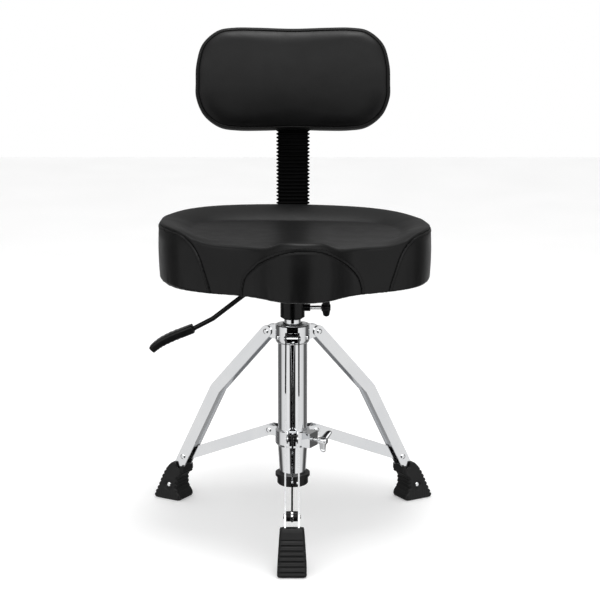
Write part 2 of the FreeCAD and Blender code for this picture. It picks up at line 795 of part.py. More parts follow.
def knob(label, thread, radius, height, placement):
    """A threaded stud along Z with its tip at the origin, and a round scalloped head below it."""
    name = label + "_body"
    body = turned(name, [
        ("0", "0"), ("wing_thread_radius", "0"), ("wing_thread_radius", "-%g" % thread),
        ("%g" % (radius * 0.55), "-%g" % thread), ("%g" % (radius * 0.6), "-%g" % (thread + 4)),
        ("%g" % radius, "-%g" % (thread + 5)), ("%g" % radius, "-%g" % (thread + height - 2)),
        ("%g" % (radius - 2), "-%g" % (thread + height)), ("0", "-%g" % (thread + height)),
    ])
    scallops = []
    for index in range(6):
        spot = Rotation(Z_AXIS, 60.0 * index).multVec(Vector(radius + 3.5, 0, -thread - height - 1))
        scallops.append(cylinder("%s_scallop_%d" % (label, index), "5.5", "%g" % (height - 3.5),
                                 Placement(spot, Rotation())))
    keep(label, cut(label + "_cut", body, scallops), placement)


def lever_route():
    """Centreline of the lever rod in the plane y = 0: tongue, bend under the plate, grip."""
    height = size("lever_height")
    return [
        Vector(3, 0, height),
        Vector(-68, 0, height),
        Vector(-134, 0, height - 51),
        Vector(-172, 0, height - 71),
        Vector(-222, 0, height - 92),
    ]


def make_lever():
    route = lever_route()
    pieces = []
    for number, (start, end) in enumerate(zip(route, route[1:])):
        run = end - start
        pieces.append(cylinder("lever_run_%d" % number, "lever_radius", "%g" % run.Length,
                               Placement(start, Rotation(Z_AXIS, run))))
    for number, corner in enumerate(route):
        ball = doc.addObject("Part::Sphere", "lever_corner_%d" % number)
        ball.setExpression("Radius", bound("lever_radius"))
        ball.Placement = Placement(corner, Rotation())
        pieces.append(ball)
    pivot = along(Y_AXIS, -size("lever_pivot"), -size("lever_eye_length") / 2,
                  size("lever_height"))
    pieces.append(cylinder("lever_eye", "lever_eye_radius", "lever_eye_length", pivot))
    hole = cylinder("lever_eye_hole", "lever_pin_radius + pin_clearance", "20",
                    along(Y_AXIS, -size("lever_pivot"), -10, size("lever_height")))
    keep("lever_rod", cut("lever", fused("lever_blank", pieces), [hole]))

    grip = padded("grip", "XZ_Plane", [
        ("-165", "lever_height - 59"), ("-185", "lever_height - 64"),
        ("-211", "lever_height - 77"), ("-235", "lever_height - 95"),
        ("-240", "lever_height - 101"), ("-238", "lever_height - 106"),
        ("-229", "lever_height - 105"), ("-203", "lever_height - 92"),
        ("-177", "lever_height - 82"), ("-166", "lever_height - 77"),
    ], "grip_width")
    bores = [
        cylinder("grip_bore_%d" % number, "lever_radius", "%g" % (end - start).Length,
                 Placement(start, Rotation(Z_AXIS, end - start)))
        for number, (start, end) in enumerate(zip(route[2:], route[3:]))
    ]
    for number, corner in enumerate(route[3:]):
        ball = doc.addObject("Part::Sphere", "grip_corner_%d" % number)
        ball.setExpression("Radius", bound("lever_radius"))
        ball.Placement = Placement(corner, Rotation())
        bores.append(ball)
    keep("lever_grip", cut("grip_bored", grip, bores))


# ---- cushion --------------------------------------------------------------------------------

def cushion_outline(inset):
    """Half of the saddle's plan, nose to rear, as fractions of the half width; mirrored."""
    wide = size("cushion_half_width")
    half = [
        (0.0, -0.838), (0.150, -0.815), (0.245, -0.705), (0.390, -0.545), (0.620, -0.440),
        (0.800, -0.320), (0.935, -0.110), (1.0, 0.180), (0.965, 0.450), (0.800, 0.680),
        (0.500, 0.805), (0.0, 0.850),
    ]
    right = [Vector(x * wide, y * wide, 0) for x, y in half]
    left = [Vector(-corner.x, corner.y, 0) for corner in reversed(right[1:-1])]
    curve = Part.BSplineCurve()
    curve.interpolate(Points=right + left, PeriodicFlag=True)
    inner = []
    for corner in right + left:
        forward = curve.tangent(curve.parameter(corner))[0]
        inner.append(corner + Vector(-forward.y, forward.x, 0) * inset)
    curve.interpolate(Points=inner, PeriodicFlag=True)
    return Part.Wire([curve.toShape()])


def cushion_solid(low, inset):
    """The saddle: rounded top edge, a shallow bowl behind the nose and two thigh troughs."""
    top = size("cushion_top") - inset
    face = Part.Face(cushion_outline(inset))
    face.translate(Vector(0, 0, low))
    solid = face.extrude(Vector(0, 0, top - low))
    rim = [edge for edge in solid.Edges if edge.BoundBox.ZMin > top - 1]
    solid = solid.makeFillet(size("cushion_edge") - inset, rim).Solids[0]
    bowl = Part.makeSphere(size("bowl_radius") + inset)
    bowl.translate(Vector(0, size("bowl_y"), size("bowl_floor") + size("bowl_radius")))
    return solid.cut(bowl)


def make_cushion():
    rest = Placement(Vector(size("cushion_shift"), 0, 0), Rotation(Z_AXIS, size("cushion_yaw")))
    low = size("cushion_bottom")
    thick = size("cover_thickness")
    board_top = low + size("board_thickness")
    cover = cushion_solid(low, 0).cut(cushion_solid(low, thick))
    filling = cushion_solid(board_top, thick)
    board_face = Part.Face(cushion_outline(thick))
    board_face.translate(Vector(0, 0, low))
    board = board_face.extrude(Vector(0, 0, size("board_thickness")))
    holes = Part.makeCompound([
        Part.makeCylinder(size("screw_radius"), 20, Vector(x, y, low - 5))
        for x, y in screw_spots()
    ])
    holes.Placement = rest.inverse()
    board = board.cut(holes)
    for label, solid in (("seat_cover", cover), ("seat_foam", filling), ("seat_board", board)):
        feature = doc.addObject("Part::Feature", label + "_solid")
        feature.Shape = solid
        keep(label, feature, rest)


# ---- backrest -------------------------------------------------------------------------------

def back_frame():
    """Frame of the reclined bar: origin where it leaves the bend, Z up along the bar."""
    lean = math.radians(size("back_recline"))
    middle = size("back_bend_radius") + size("back_bar_thickness") / 2
    centre_z = size("back_bar_low") + size("back_bar_thickness") + size("back_bend_radius")
    spot = Vector(0, size("back_bend_y") + middle * math.cos(lean), centre_z - middle * math.sin(lean))
    return Placement(spot, Rotation(X_AXIS, -size("back_recline")))


def make_back_bar():
    half = size("back_bar_width") / 2
    thick = size("back_bar_thickness")
    flat = box("bar_flat", "back_bar_width", "back_bend_y - back_bar_front", "back_bar_thickness",
               at(-half, size("back_bar_front"), size("back_bar_low")))
    centre_z = size("back_bar_low") + thick + size("back_bend_radius")
    turn = Placement(Vector(-half, size("back_bend_y"), centre_z),
                     Rotation(Z_AXIS * -1, Y_AXIS, X_AXIS, "ZXY"))
    outer = cylinder("bend_outer", "back_bend_radius + back_bar_thickness", "back_bar_width", turn)
    outer.setExpression("Angle", bound("90 - back_recline"))
    inner = cylinder("bend_inner", "back_bend_radius", "back_bar_width", turn)
    bend = cut("bend", outer, [inner])
    frame = back_frame()
    upright = box("bar_upright", "back_bar_width", "back_bar_thickness", "back_bar_length",
                  frame.multiply(at(-half, -thick / 2, 0)))
    keep("back_bar", fused("bar_of_back", [flat, bend, upright]))

    cover = cut("bellows_tube",
                box("bellows_outer", "bellows_width", "bellows_depth", "bellows_length",
                    at(-size("bellows_width") / 2, -size("bellows_depth") / 2,
                       size("bellows_low"))),
                [box("bellows_inner", "back_bar_width + 2", "back_bar_thickness + 2",
                     "bellows_length + 2",
                     at(-half - 1, -thick / 2 - 1, size("bellows_low") - 1))])
    keep("bellows", cover, frame)


def pad_screw_spots():
    """The four screws that hold the pad to its carriage, across and up the bar."""
    low = size("carriage_low") + 16
    high = size("carriage_low") + size("carriage_height") - 16
    return [(x, z) for x in (-42, 42) for z in (low, high)]


def make_carriage():
    half = size("back_bar_width") / 2
    thick = size("back_bar_thickness")
    gap = size("carriage_gap")
    wall = size("carriage_wall")
    low = size("carriage_low")
    sleeve = box("carriage_sleeve", "back_bar_width + 2 * (carriage_gap + carriage_wall)",
                 "back_bar_thickness + 2 * (carriage_gap + carriage_wall)", "carriage_height",
                 at(-half - gap - wall, -thick / 2 - gap - wall, low))
    front = thick / 2 + gap + wall
    flange = box("carriage_flange", "110", "3", "carriage_height", at(-55, -front - 3, low))
    hollow = box("carriage_hollow", "back_bar_width + 2 * carriage_gap",
                 "back_bar_thickness + 2 * carriage_gap", "carriage_height + 2",
                 at(-half - gap, -thick / 2 - gap, low - 1))
    tools = [hollow, cylinder("carriage_hole", "wing_thread_radius + pin_clearance", "12",
                              along(Y_AXIS, 0, thick / 2 + 0.05, low + 60))]
    screws = []
    for x, z in pad_screw_spots():
        name = "pad_screw_%d_%d" % (x, z)
        tools.append(cylinder(name + "_hole", "screw_radius", "12",
                              along(Y_AXIS, x, -front - 6, z)))
        screw = turned(name, [
            ("0", "-2.6"), ("3.5", "-2.6"), ("5", "-1"), ("5", "0"), ("screw_radius", "0"),
            ("screw_radius", "9.5"), ("0", "9.5"),
        ])
        screw.Placement = along(Y_AXIS * -1, x, -front, z)
        screws.append(screw)
    frame = back_frame()
    keep("pad_carriage", cut("carriage", fused("carriage_blank", [sleeve, flange]), tools), frame)
    keep("pad_screws", group("screws_of_pad", screws), frame)


def pad_layer(name, inset, front_radius, back_radius, back_y):
    """A rounded panel bowed about an upright axis in front of it."""
    width = size("pad_width") - 2 * inset
    height = size("pad_height") - 2 * inset
    panel = Part.makeBox(width, 200, height, Vector(-width / 2, back_y - 150,
                                                    size("pad_centre") - height / 2))
    corners = [edge for edge in panel.Edges
               if abs(edge.tangentAt(edge.FirstParameter).y) > 0.99]
    panel = panel.makeFillet(size("pad_corner") - inset, corners)
    axis = Vector(0, back_y - size("pad_front_bow") - size("pad_thickness"), 0)
    ring = Part.makeCylinder(back_radius, 700, axis).cut(Part.makeCylinder(front_radius, 700, axis))
    feature = doc.addObject("Part::Feature", name)
    feature.Shape = panel.common(ring)
    return feature


def make_pad():
    frame = back_frame()
    back_y = -(size("back_bar_thickness") / 2 + size("carriage_gap") + size("carriage_wall") + 3)
    front = size("pad_front_bow")
    back = front + size("pad_thickness")
    thick = size("cover_thickness")
    board_front = back - thick - size("pad_board_thickness")
    outer = pad_layer("pad_whole", 0, front, back, back_y)
    cavity = pad_layer("pad_cavity", thick, front + thick, back - thick, back_y)
    foam = pad_layer("pad_filling", thick, front + thick, board_front, back_y)
    board = pad_layer("pad_plank", thick, board_front, back - thick, back_y)
    holes = []
    for x, z in pad_screw_spots():
        holes.append(cylinder("pad_hole_%d_%d" % (x, z), "screw_radius", "14",
                              along(Y_AXIS * -1, x, back_y + 3, z)))
    hole_group = group("pad_holes", holes)
    keep("pad_cover", cut("pad_skin", cut("pad_shell", outer, [cavity]), [hole_group]), frame)
    keep("pad_foam", foam, frame)
    keep("pad_board", cut("pad_plank_drilled", board, [group("pad_holes_again", holes)]), frame)


# ---- assembly -------------------------------------------------------------------------------

make_column()
make_hub()
make_cap()
make_bearing()
make_rod()
make_collar()
for leg_side, leg_azimuth in LEG_AZIMUTHS.items():
    make_leg(leg_side, leg_azimuth)
    make_brace(leg_side, leg_azimuth)

clamp_outward = Rotation(Z_AXIS, CLAMP_AZIMUTH).multVec(X_AXIS)
clamp_height = (size("collar_low") + size("collar_high")) / 2
clamp_start = clamp_outward * (size("column_radius") + 0.1)
clamp_roll = Rotation(clamp_outward, 28).multiply(Rotation(Z_AXIS, clamp_outward))
wing_bolt("collar_wing_bolt", 28.0,
          Placement(clamp_start + Vector(0, 0, clamp_height), clamp_roll))

make_gas_tube()
make_receiver()
seat_roll = Rotation(Z_AXIS, X_AXIS)
wing_bolt("seat_wing_bolt", 33.0,
          Placement(Vector(size("tube_radius") + 0.1, 0, size("seat_wing_height")), seat_roll))
make_bar_guide()
knob("guide_knob", 14.0, 17.0, 18.0, at(0, 72, size("back_bar_low") - 0.1))
make_lever()
make_cushion()
make_back_bar()
make_carriage()
make_pad()
knob_spot = back_frame().multiply(along(
    Y_AXIS * -1, 0, size("back_bar_thickness") / 2 + 0.05, size("carriage_low") + 60))
knob("pad_knob", 8.0, 17.0, 24.0, knob_spot)

doc.recompute()

problems = []
for item in doc.Objects:
    if "Invalid" in item.State or "Error" in item.State:
        problems.append("%s: %s" % (item.Name, item.State))
for part in PARTS:
    if part.Shape.isNull() or not part.Shape.isValid():
        problems.append(part.Label + ": null or invalid shape")
if problems:
    raise SystemExit("\n".join(problems))

os.makedirs("parts", exist_ok=True)
for part in PARTS:
    part.Shape.exportStep("parts/%s.step" % part.Label)
print(len(PARTS), "sub-parts written")
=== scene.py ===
"""Looks for a drum throne with a backrest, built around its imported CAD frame.

Lengths in the shape code are in millimetres and become metres where a mesh is made.
"""

import math
import random

import bpy
import numpy as np
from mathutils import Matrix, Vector
from mathutils.bvhtree import BVHTree
from mathutils.kdtree import KDTree


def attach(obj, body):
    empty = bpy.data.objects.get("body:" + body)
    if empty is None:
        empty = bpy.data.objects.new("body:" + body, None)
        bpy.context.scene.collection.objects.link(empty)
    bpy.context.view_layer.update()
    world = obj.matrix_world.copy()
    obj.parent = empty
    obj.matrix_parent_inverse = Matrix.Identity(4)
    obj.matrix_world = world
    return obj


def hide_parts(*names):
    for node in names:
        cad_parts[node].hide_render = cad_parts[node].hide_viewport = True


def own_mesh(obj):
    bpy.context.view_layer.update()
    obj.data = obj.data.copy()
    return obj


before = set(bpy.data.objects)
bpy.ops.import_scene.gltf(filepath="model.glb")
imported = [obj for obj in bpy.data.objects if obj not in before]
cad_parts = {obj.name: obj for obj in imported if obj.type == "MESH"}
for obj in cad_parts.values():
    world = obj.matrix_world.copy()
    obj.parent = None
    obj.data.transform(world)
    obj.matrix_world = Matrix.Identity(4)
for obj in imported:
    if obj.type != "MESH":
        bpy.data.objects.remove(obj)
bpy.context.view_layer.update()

MM = 0.001
rng = random.Random(11)


# ---------------------------------------------------------------- small helpers

def smoothstep(value, low, high):
    t = np.clip((np.asarray(value, float) - low) / (high - low), 0, 1)
    return t * t * (3 - 2 * t)


def unit(vectors):
    length = np.linalg.norm(vectors, axis=-1, keepdims=True)
    return vectors / np.maximum(length, 1e-12)


def catmull(points, closed, steps=40):
    """A dense smooth line through the given points, each a row of numbers."""
    p = np.asarray(points, float)
    n = len(p)
    spans = n if closed else n - 1
    t = np.linspace(0, 1, steps, endpoint=False)[:, None]
    out = []
    for i in range(spans):
        if closed:
            a, b, c, d = (p[(i + k) % n] for k in (-1, 0, 1, 2))
        else:
            b, c = p[i], p[i + 1]
            a = p[i - 1] if i else 2 * b - c
            d = p[i + 2] if i + 2 < n else 2 * c - b
        out.append(0.5 * (2 * b + (c - a) * t + (2 * a - 5 * b + 4 * c - d) * t ** 2
                          + (3 * b - a - 3 * c + d) * t ** 3))
    if not closed:
        out.append(p[-1:])
    return np.vstack(out)


def resample(line, count, closed, axes=3):
    """The line again as `count` rows, evenly spaced by the length of its first `axes` columns."""
    rows = np.vstack([line, line[:1]]) if closed else line
    step = np.linalg.norm(np.diff(rows[:, :axes], axis=0), axis=1)
    along = np.concatenate([[0], np.cumsum(step)])
    at = np.linspace(0, along[-1], count, endpoint=not closed)
    return np.column_stack([np.interp(at, along, rows[:, k]) for k in range(rows.shape[1])])


def inward_of(edge):
    """The unit step into a flat counterclockwise loop at each of its points."""
    tangent = unit(np.roll(edge, -1, axis=0) - np.roll(edge, 1, axis=0))
    return np.column_stack([-tangent[:, 1], tangent[:, 0]])


def level_ring(at, height):
    """Points in x and y as one ring at a height, which is a number or one for each point."""
    return np.column_stack([at, np.broadcast_to(height, len(at))])


def turned(points, angle, first=0, second=1):
    """The points turned by an angle in radians, from one axis towards another."""
    p = np.asarray(points, float)
    c, s = math.cos(angle), math.sin(angle)
    out = p.copy()
    out[..., first] = c * p[..., first] - s * p[..., second]
    out[..., second] = s * p[..., first] + c * p[..., second]
    return out


def grid_normals(grid):
    down = np.gradient(grid, axis=0)
    around = np.roll(grid, -1, axis=1) - np.roll(grid, 1, axis=1)
    return unit(np.cross(down, around))


def make_mesh(name, points, faces, body, slot, materials=None, smooth=True):
    """A mesh piece from points in millimetres, riding on a body.

    Its material is its slot's, if no others are given."""
    mesh = bpy.data.meshes.new(name)
    mesh.from_pydata((np.asarray(points, float) * MM).tolist(), [], faces)
    mesh.validate()
    mesh.polygons.foreach_set("use_smooth", [smooth] * len(mesh.polygons))
    for material in materials or [MATERIALS[slot]]:
        mesh.materials.append(material)
    piece = bpy.data.objects.new(name, mesh)
    bpy.context.scene.collection.objects.link(piece)
    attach(piece, body)
    return piece


def capped_grid(grid):
    """Points and faces of a closed surface from a grid of rings.

    Rows run outward over the top and columns run counterclockwise."""
    rows, columns = grid.shape[:2]
    points = np.vstack([grid.reshape(-1, 3), grid[0].mean(0), grid[-1].mean(0)])
    faces = []
    for i in range(rows - 1):
        a, b = i * columns, (i + 1) * columns
        for j in range(columns):
            k = (j + 1) % columns
            faces.append((a + j, b + j, b + k, a + k))
    top, low, base = len(points) - 2, len(points) - 1, (rows - 1) * columns
    faces += [(top, j, (j + 1) % columns) for j in range(columns)]
    faces += [(low, base + (j + 1) % columns, base + j) for j in range(columns)]
    return points, faces


def joined(shells):
    """Several shells, each (points, faces), as one."""
    points, faces = [], []
    for places, quads in shells:
        start = len(points)
        points += list(places)
        faces += [tuple(start + k for k in face) for face in quads]
    return points, faces


def tube(rings):
    """Points and faces of a closed tube from rings with the same number of points."""
    around = len(rings[0])
    faces = []
    for i in range(len(rings) - 1):
        low, high = i * around, (i + 1) * around
        for j in range(around):
            m = (j + 1) % around
            faces.append((low + j, low + m, high + m, high + j))
    last = (len(rings) - 1) * around
    faces.append(tuple(reversed(range(around))))
    faces.append(tuple(last + j for j in range(around)))
    return [place for ring in rings for place in ring], faces


def sweep(path, sections):
    """A ring of section points (sideways, upward) set square to each point of a path."""
    along = unit(np.gradient(path, axis=0))
    side = unit(np.cross(along, (0, 0, 1)))
    lift = np.cross(side, along)
    return path[:, None] + sections[:, :, :1] * side[:, None] + sections[:, :, 1:] * lift[:, None]


def rounded_section(half_wide, half_high, radius, count):
    """A rounded rectangle as `count` evenly spaced points, counterclockwise."""
    corners = [(1, 1, 0), (-1, 1, 90), (-1, -1, 180), (1, -1, 270)]
    line = []
    for sx, sy, begin in corners:
        for degrees in np.linspace(begin, begin + 90, 12):
            a = math.radians(degrees)
            line.append((sx * (half_wide - radius) + radius * math.cos(a),
                         sy * (half_high - radius) + radius * math.sin(a)))
    return resample(np.array(line), count, closed=True, axes=2)


# ---------------------------------------------------------------- materials

EDGE_RADIUS = 0.5


class Nodes:
    """Adds nodes to one node tree."""

    def __init__(self, tree):
        self.tree = tree

    def node(self, kind, **values):
        n = self.tree.nodes.new(kind)
        for key, value in values.items():
            setattr(n, key, value)
        return n

    def link(self, source, target):
        self.tree.links.new(source, target)

    def span(self, source, low, high, to_low, to_high, **values):
        n = self.node("ShaderNodeMapRange", **values)
        for key, value in zip(("From Min", "From Max", "To Min", "To Max"),
                              (low, high, to_low, to_high)):
            n.inputs[key].default_value = value
        self.link(source, n.inputs["Value"])
        return n.outputs["Result"]

    def math(self, operation, *values):
        n = self.node("ShaderNodeMath", operation=operation)
        for socket, value in zip(n.inputs, values):
            if isinstance(value, (int, float)):
                socket.default_value = value
            else:
                self.link(value, socket)
        return n.outputs[0]

    def ramp(self, source, stops):
        n = self.node("ShaderNodeValToRGB")
        elements = n.color_ramp.elements
        while len(elements) < len(stops):
            elements.new(0.5)
        for element, (position, colour) in zip(elements, stops):
            element.position = position
            element.color = (*colour, 1)
        self.link(source, n.inputs["Fac"])
        return n.outputs["Color"]


class Shader(Nodes):
    """Builds one node material a step at a time."""

    def __init__(self, name):
        self.material = bpy.data.materials.new(name)
        self.material.use_nodes = True
        super().__init__(self.material.node_tree)
        self.bsdf = self.tree.nodes["Principled BSDF"]
        self.place = self.node("ShaderNodeTexCoord").outputs["Object"]

    def stretched(self, scale):
        n = self.node("ShaderNodeMapping")
        n.inputs["Scale"].default_value = scale
        self.link(self.place, n.inputs["Vector"])
        return n.outputs["Vector"]

    def noise(self, scale, detail=3.0, rough=0.5, place=None):
        n = self.node("ShaderNodeTexNoise")
        n.inputs["Scale"].default_value = scale
        n.inputs["Detail"].default_value = detail
        n.inputs["Roughness"].default_value = rough
        self.link(place or self.place, n.inputs["Vector"])
        return n.outputs["Fac"]

    def cells(self, scale, feature="DISTANCE_TO_EDGE", randomness=1.0):
        n = self.node("ShaderNodeTexVoronoi", feature=feature)
        n.inputs["Scale"].default_value = scale
        n.inputs["Randomness"].default_value = randomness
        self.link(self.place, n.inputs["Vector"])
        return n.outputs["Distance"]

    def height(self):
        n = self.node("ShaderNodeSeparateXYZ")
        self.link(self.place, n.inputs[0])
        return n.outputs["Z"]

    def bump(self, *layers):
        """Each layer is (height, strength, distance in metres), over softened sharp edges."""
        n = self.node("ShaderNodeBevel", samples=4)
        n.inputs["Radius"].default_value = EDGE_RADIUS * MM
        normal = n.outputs["Normal"]
        for height, strength, distance in layers:
            n = self.node("ShaderNodeBump")
            n.inputs["Strength"].default_value = strength
            n.inputs["Distance"].default_value = distance
            self.link(height, n.inputs["Height"])
            self.link(normal, n.inputs["Normal"])
            normal = n.outputs["Normal"]
        self.link(normal, self.bsdf.inputs["Normal"])

    def set(self, **values):
        for key, value in values.items():
            socket = self.bsdf.inputs[key.replace("_", " ")]
            if isinstance(value, bpy.types.NodeSocket):
                self.link(value, socket)
            elif isinstance(value, tuple):
                socket.default_value = (*value, 1)
            else:
                socket.default_value = value
        return self.material


def leather_material():
    s = Shader("leather")
    tone = s.noise(14, 3)
    colour = s.ramp(tone, [(0.3, (0.0030, 0.0030, 0.0031)), (0.7, (0.0048, 0.0048, 0.0049))])
    grain = s.cells(1100)
    pores = s.noise(2600, 2)
    wave = s.noise(26, 2)
    s.bump((wave, 0.10, 0.004), (s.span(grain, 0.0, 0.12, 0, 1), 0.05, 0.0002),
           (pores, 0.06, 0.0002))
    # the pulled side wall is glossier than everything above it
    rough = s.math("ADD", s.span(s.noise(40, 4), 0.3, 0.7, -0.03, 0.03),
                   s.span(s.height(), 0.488, 0.500, 0.31, 0.46))
    return s.set(Base_Color=colour, Roughness=rough, Specular_IOR_Level=0.19)


def lining_material():
    """Spun black cloth that closes the underside of the cushion."""
    s = Shader("lining")
    fibres = s.noise(900, 6, 0.7, s.stretched((1, 3, 1)))
    dimples = s.cells(420, "F1", 0.15)
    colour = s.ramp(fibres, [(0.3, (0.006, 0.006, 0.006)), (0.75, (0.030, 0.030, 0.031))])
    s.bump((dimples, 0.5, 0.0004), (fibres, 0.4, 0.0003))
    return s.set(Base_Color=colour, Roughness=s.span(fibres, 0.3, 0.7, 0.8, 0.95))


def thread_material():
    s = Shader("thread")
    twist = s.noise(1500, 3)
    colour = s.ramp(twist, [(0.3, (0.0008, 0.0008, 0.0008)), (0.8, (0.0022, 0.0022, 0.0022))])
    s.bump((twist, 0.4, 0.0002))
    return s.set(Base_Color=colour, Roughness=s.span(twist, 0.3, 0.7, 0.7, 0.9),
                 Specular_IOR_Level=0.12)


def chrome_material():
    s = Shader("chrome")
    ripple = s.noise(55, 2)
    haze = s.noise(9, 5, 0.6)
    scratch = s.noise(60, 8, 0.8, s.stretched((9, 9, 0.6)))
    colour = s.ramp(haze, [(0.3, (0.71, 0.72, 0.735)), (0.7, (0.78, 0.785, 0.79))])
    rough = s.math("ADD", s.span(haze, 0.35, 0.75, 0.035, 0.075),
                   s.span(scratch, 0.62, 0.8, 0.0, 0.05))
    s.bump((ripple, 0.035, 0.002), (scratch, 0.02, 0.0002))
    return s.set(Base_Color=colour, Metallic=1.0, Roughness=rough)


def plain_steel_material():
    s = Shader("plain_steel")
    turned = s.noise(120, 6, 0.7, s.stretched((1, 1, 30)))
    stain = s.noise(30, 4)
    colour = s.ramp(stain, [(0.3, (0.36, 0.36, 0.37)), (0.7, (0.52, 0.52, 0.53))])
    s.bump((turned, 0.12, 0.0003))
    return s.set(Base_Color=colour, Metallic=1.0, Roughness=s.span(turned, 0.3, 0.7, 0.22, 0.42))


def black_metal_material():
    s = Shader("black_metal")
    coat = s.noise(700, 3)
    wear = s.noise(45, 6, 0.7)
    colour = s.ramp(wear, [(0.4, (0.0012, 0.0012, 0.0013)), (0.8, (0.0045, 0.0045, 0.0048))])
    s.bump((coat, 0.16, 0.0003))
    return s.set(Base_Color=colour, Metallic=0.0, Roughness=s.span(wear, 0.3, 0.7, 0.16, 0.27),
                 Specular_IOR_Level=0.2)


def black_plastic_material():
    s = Shader("black_plastic")
    texture = s.noise(1300, 3)
    flow = s.noise(22, 4)
    colour = s.ramp(flow, [(0.3, (0.0015, 0.0015, 0.0016)), (0.7, (0.0038, 0.0038, 0.0040))])
    s.bump((texture, 0.22, 0.0003), (flow, 0.06, 0.001))
    return s.set(Base_Color=colour, Roughness=s.span(s.noise(60, 4), 0.3, 0.7, 0.28, 0.42),
                 Specular_IOR_Level=0.22)


def rubber_material():
    s = Shader("rubber")
    speck = s.noise(1700, 4, 0.7)
    dust = s.noise(35, 5, 0.65)
    colour = s.ramp(dust, [(0.35, (0.0026, 0.0026, 0.0027)), (0.8, (0.0062, 0.0062, 0.0065))])
    s.bump((speck, 0.3, 0.0003), (dust, 0.1, 0.001))
    return s.set(Base_Color=colour, Roughness=s.span(dust, 0.3, 0.7, 0.40, 0.56),
                 Specular_IOR_Level=0.26)


def foam_material():
    s = Shader("foam")
    bubbles = s.cells(900, "F1")
    colour = s.ramp(bubbles, [(0.1, (0.30, 0.28, 0.22)), (0.7, (0.62, 0.58, 0.46))])
    s.bump((bubbles, 0.6, 0.0006))
    return s.set(Base_Color=colour, Roughness=s.span(bubbles, 0, 1, 0.8, 0.95))


def plywood_material():
    s = Shader("plywood")
    fibre = s.noise(30, 8, 0.7, s.stretched((1, 22, 22)))
    plies = s.noise(5, 2, 0.5, s.stretched((0.2, 0.2, 110)))
    colour = s.ramp(s.math("ADD", s.math("MULTIPLY", fibre, 0.6), s.math("MULTIPLY", plies, 0.4)),
                    [(0.35, (0.28, 0.17, 0.085)), (0.65, (0.52, 0.36, 0.20))])
    s.bump((fibre, 0.3, 0.0005))
    return s.set(Base_Color=colour, Roughness=s.span(fibre, 0.3, 0.7, 0.5, 0.7))


def bellows_material():
    """Thin matt rubber, darker than the feet, a little dusty on its folds."""
    s = Shader("bellows_rubber")
    speck = s.noise(1900, 3, 0.6)
    dust = s.noise(60, 5, 0.65)
    colour = s.ramp(dust, [(0.4, (0.0004, 0.0004, 0.0004)), (0.8, (0.0012, 0.0012, 0.0013))])
    s.bump((speck, 0.25, 0.0003))
    return s.set(Base_Color=colour, Roughness=s.span(dust, 0.3, 0.7, 0.5, 0.66),
                 Specular_IOR_Level=0.05)


MATERIALS = {
    "leather": leather_material(),
    "chrome": chrome_material(),
    "plain_steel": plain_steel_material(),
    "black_metal": black_metal_material(),
    "black_plastic": black_plastic_material(),
    "rubber": rubber_material(),
    "foam": foam_material(),
    "plywood": plywood_material(),
}
LINING = lining_material()
THREAD = thread_material()
BELLOWS_RUBBER = bellows_material()

FINISH = {
    "chrome": ["column_tube", "leg_hub", "hub_rivets", "hub_screws", "collar", "collar_rivets",
               "collar_wing_bolt", "gas_cylinder", "cap_screw"],
    "plain_steel": ["lower_race", "upper_race", "bearing_balls", "piston_rod", "piston",
                    "rod_clip", "valve_body", "release_pin", "lever_pin", "plate_screws",
                    "pad_screws"],
    "black_metal": ["cone_socket", "mounting_plate", "bar_guide", "lever_rod", "back_bar",
                    "pad_carriage"],
    "black_plastic": ["guide_bush", "column_cap", "bearing_cage", "rod_guide", "lever_grip",
                      "guide_knob", "pad_knob", "seat_wing_bolt", "bellows", "collar_spacers"],
    "rubber": [],
    "leather": ["seat_cover", "pad_cover"],
    "foam": ["seat_foam", "pad_foam"],
    "plywood": ["seat_board", "pad_board"],
}
LEG_AZIMUTHS = {"front": -90, "right": 30, "left": 150}
LEG_FINISH = {"leg_bars": "chrome", "brace": "chrome", "brace_pin": "chrome",
              "foot_bolt": "chrome", "brace_bushes": "black_plastic", "foot": "rubber"}
for leg in LEG_AZIMUTHS:
    for member, slot_name in LEG_FINISH.items():
        FINISH[slot_name].append(leg + "_" + member)

for slot_name, members in FINISH.items():
    for member in members:
        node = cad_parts[member]
        node.data.materials.clear()
        node.data.materials.append(MATERIALS[slot_name])


# ---------------------------------------------------------------- inflating a padded shape

CLOTH_FRAMES = 20
CLOTH_PRESSURE = 4.0
CLOTH_VOXEL = 6.0


def nearest_tree(places):
    tree = KDTree(len(places))
    for index, place in enumerate(places):
        tree.insert(place, index)
    tree.balance()
    return tree


